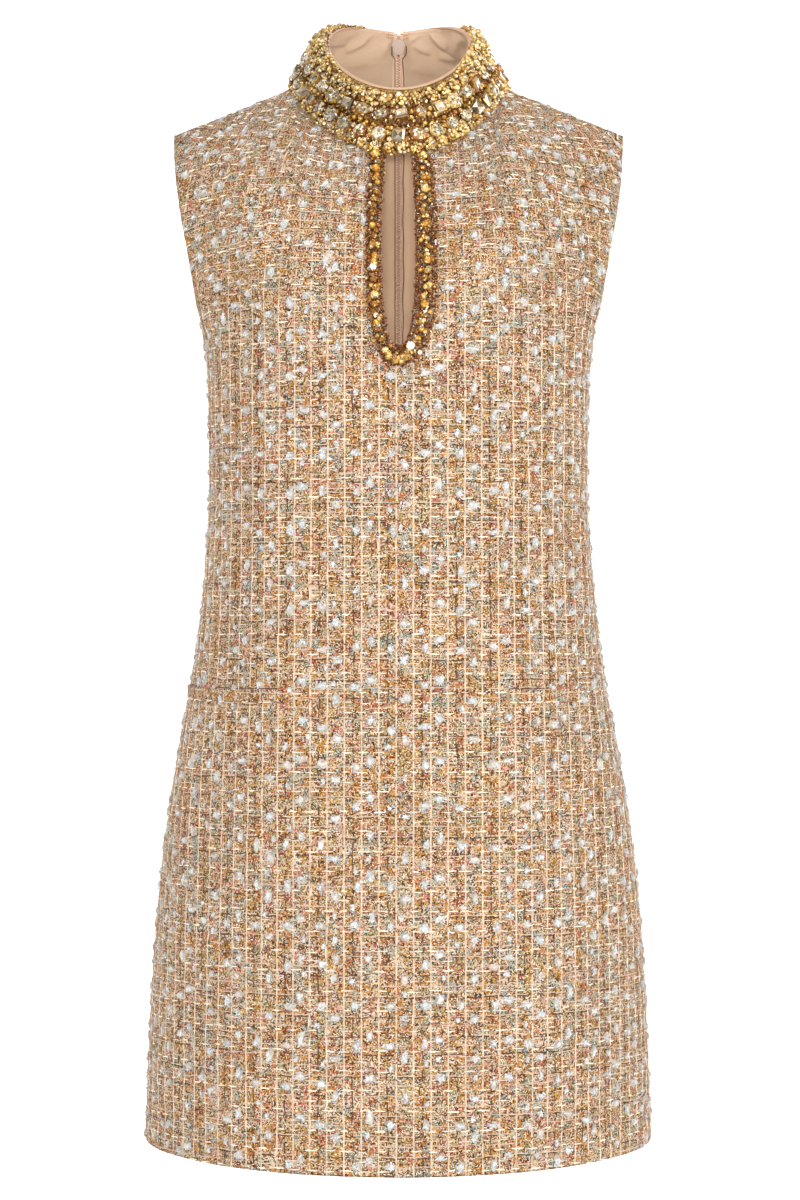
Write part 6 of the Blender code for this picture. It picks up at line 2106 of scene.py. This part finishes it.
# ------------------------------------------------------------------ floor, light and camera
def studio_floor():
    """A pale floor that curves up far behind on every side."""
    profile = [(0.0, 0.0)] + [(r, 0.0) for r in (1.5, 3.0, 4.5, 6.0)] + [
        (6.0 + 3.0 * math.sin(a), 3.0 - 3.0 * math.cos(a)) for a in np.linspace(0.12, math.pi / 2, 14)] + [(9.0, 5.5)]
    n = 96
    verts = [(0, 0, FLOOR)]
    for r, z in profile[1:]:
        verts += [(r * math.cos(2 * math.pi * k / n), r * math.sin(2 * math.pi * k / n), FLOOR + z) for k in range(n)]
    faces = [(0, 1 + k, 1 + (k + 1) % n) for k in range(n)]
    for ring in range(len(profile) - 2):
        a, b = 1 + ring * n, 1 + (ring + 1) * n
        faces += [(a + k, b + k, b + (k + 1) % n, a + (k + 1) % n) for k in range(n)]
    net = Net("studio_floor_paint", roughness=0.85, specular=0.2)
    p = net.place()
    net.colour(net.mix(net.step(net.noise(p, scale=0.0006, detail=2.0), 0.3, 0.7) * 0.25, (252, 252, 251), (246, 246, 245)))
    net.shader.inputs["Emission Color"].default_value = (1, 1, 1, 1)
    net.shader.inputs["Emission Strength"].default_value = FLOOR_GLOW
    obj = mesh_piece("studio_floor", verts, faces, net.material)


FLOOR = -1.15
FLOOR_GLOW = 0.35
studio_floor()

world = bpy.data.worlds.new("studio")
bpy.context.scene.world = world
world.use_nodes = True
tree = world.node_tree
coord = tree.nodes.new("ShaderNodeTexCoord")
split = tree.nodes.new("ShaderNodeSeparateXYZ")
ramp = tree.nodes.new("ShaderNodeValToRGB")
tree.links.new(coord.outputs["Generated"], split.inputs[0])
tree.links.new(split.outputs[2], ramp.inputs[0])
tree.links.new(ramp.outputs[0], tree.nodes["Background"].inputs[0])
for element, (position, grey) in zip(ramp.color_ramp.elements, ((0.42, 1.0), (0.80, 0.28))):
    element.position, element.color = position, (grey, grey, grey, 1)
tree.nodes["Background"].inputs[1].default_value = 0.85


def area_light(name, at, aim, size, power, colour=(1, 1, 1)):
    light = bpy.data.lights.new(name, "AREA")
    light.shape = "RECTANGLE"
    light.size, light.size_y = size
    light.energy = power
    light.color = colour
    obj = bpy.data.objects.new(name, light)
    bpy.context.scene.collection.objects.link(obj)
    obj.location = at
    obj.rotation_euler = (Vector(aim) - Vector(at)).to_track_quat("-Z", "Y").to_euler()
    return obj


MIDDLE = (0, 0, -0.40)
area_light("key_softbox", (2.4, -2.3, 0.2), MIDDLE, (1.3, 1.8), 62)
area_light("fill_softbox", (-1.5, -1.9, 2.3), (-0.14, 0, -0.02), (1.2, 0.9), 54)
area_light("back_softbox_right", (2.0, 2.6, 1.3), MIDDLE, (1.5, 2.0), 52)
area_light("back_softbox_left", (-2.3, 2.3, -0.2), MIDDLE, (1.4, 1.2), 26)
area_light("front_softbox", (0.0, -3.0, -0.40), MIDDLE, (0.14, 0.14), 44)
area_light("top_strip", (0.0, -0.4, 2.4), MIDDLE, (1.8, 0.5), 26)

camera = bpy.data.cameras.new("camera")
camera.lens = 90.0
camera.sensor_width = 36.0
camera.sensor_fit = "AUTO"
camera.clip_start, camera.clip_end = 0.05, 60
camera_object = bpy.data.objects.new("camera", camera)
bpy.context.scene.collection.objects.link(camera_object)
camera_object.location = (0.0012, -2.4, -0.4056)
camera_object.rotation_euler = (math.pi / 2, 0, 0)
bpy.context.scene.camera = camera_object
bpy.context.scene.view_settings.view_transform = "Standard"
bpy.context.scene.view_settings.look = "None"
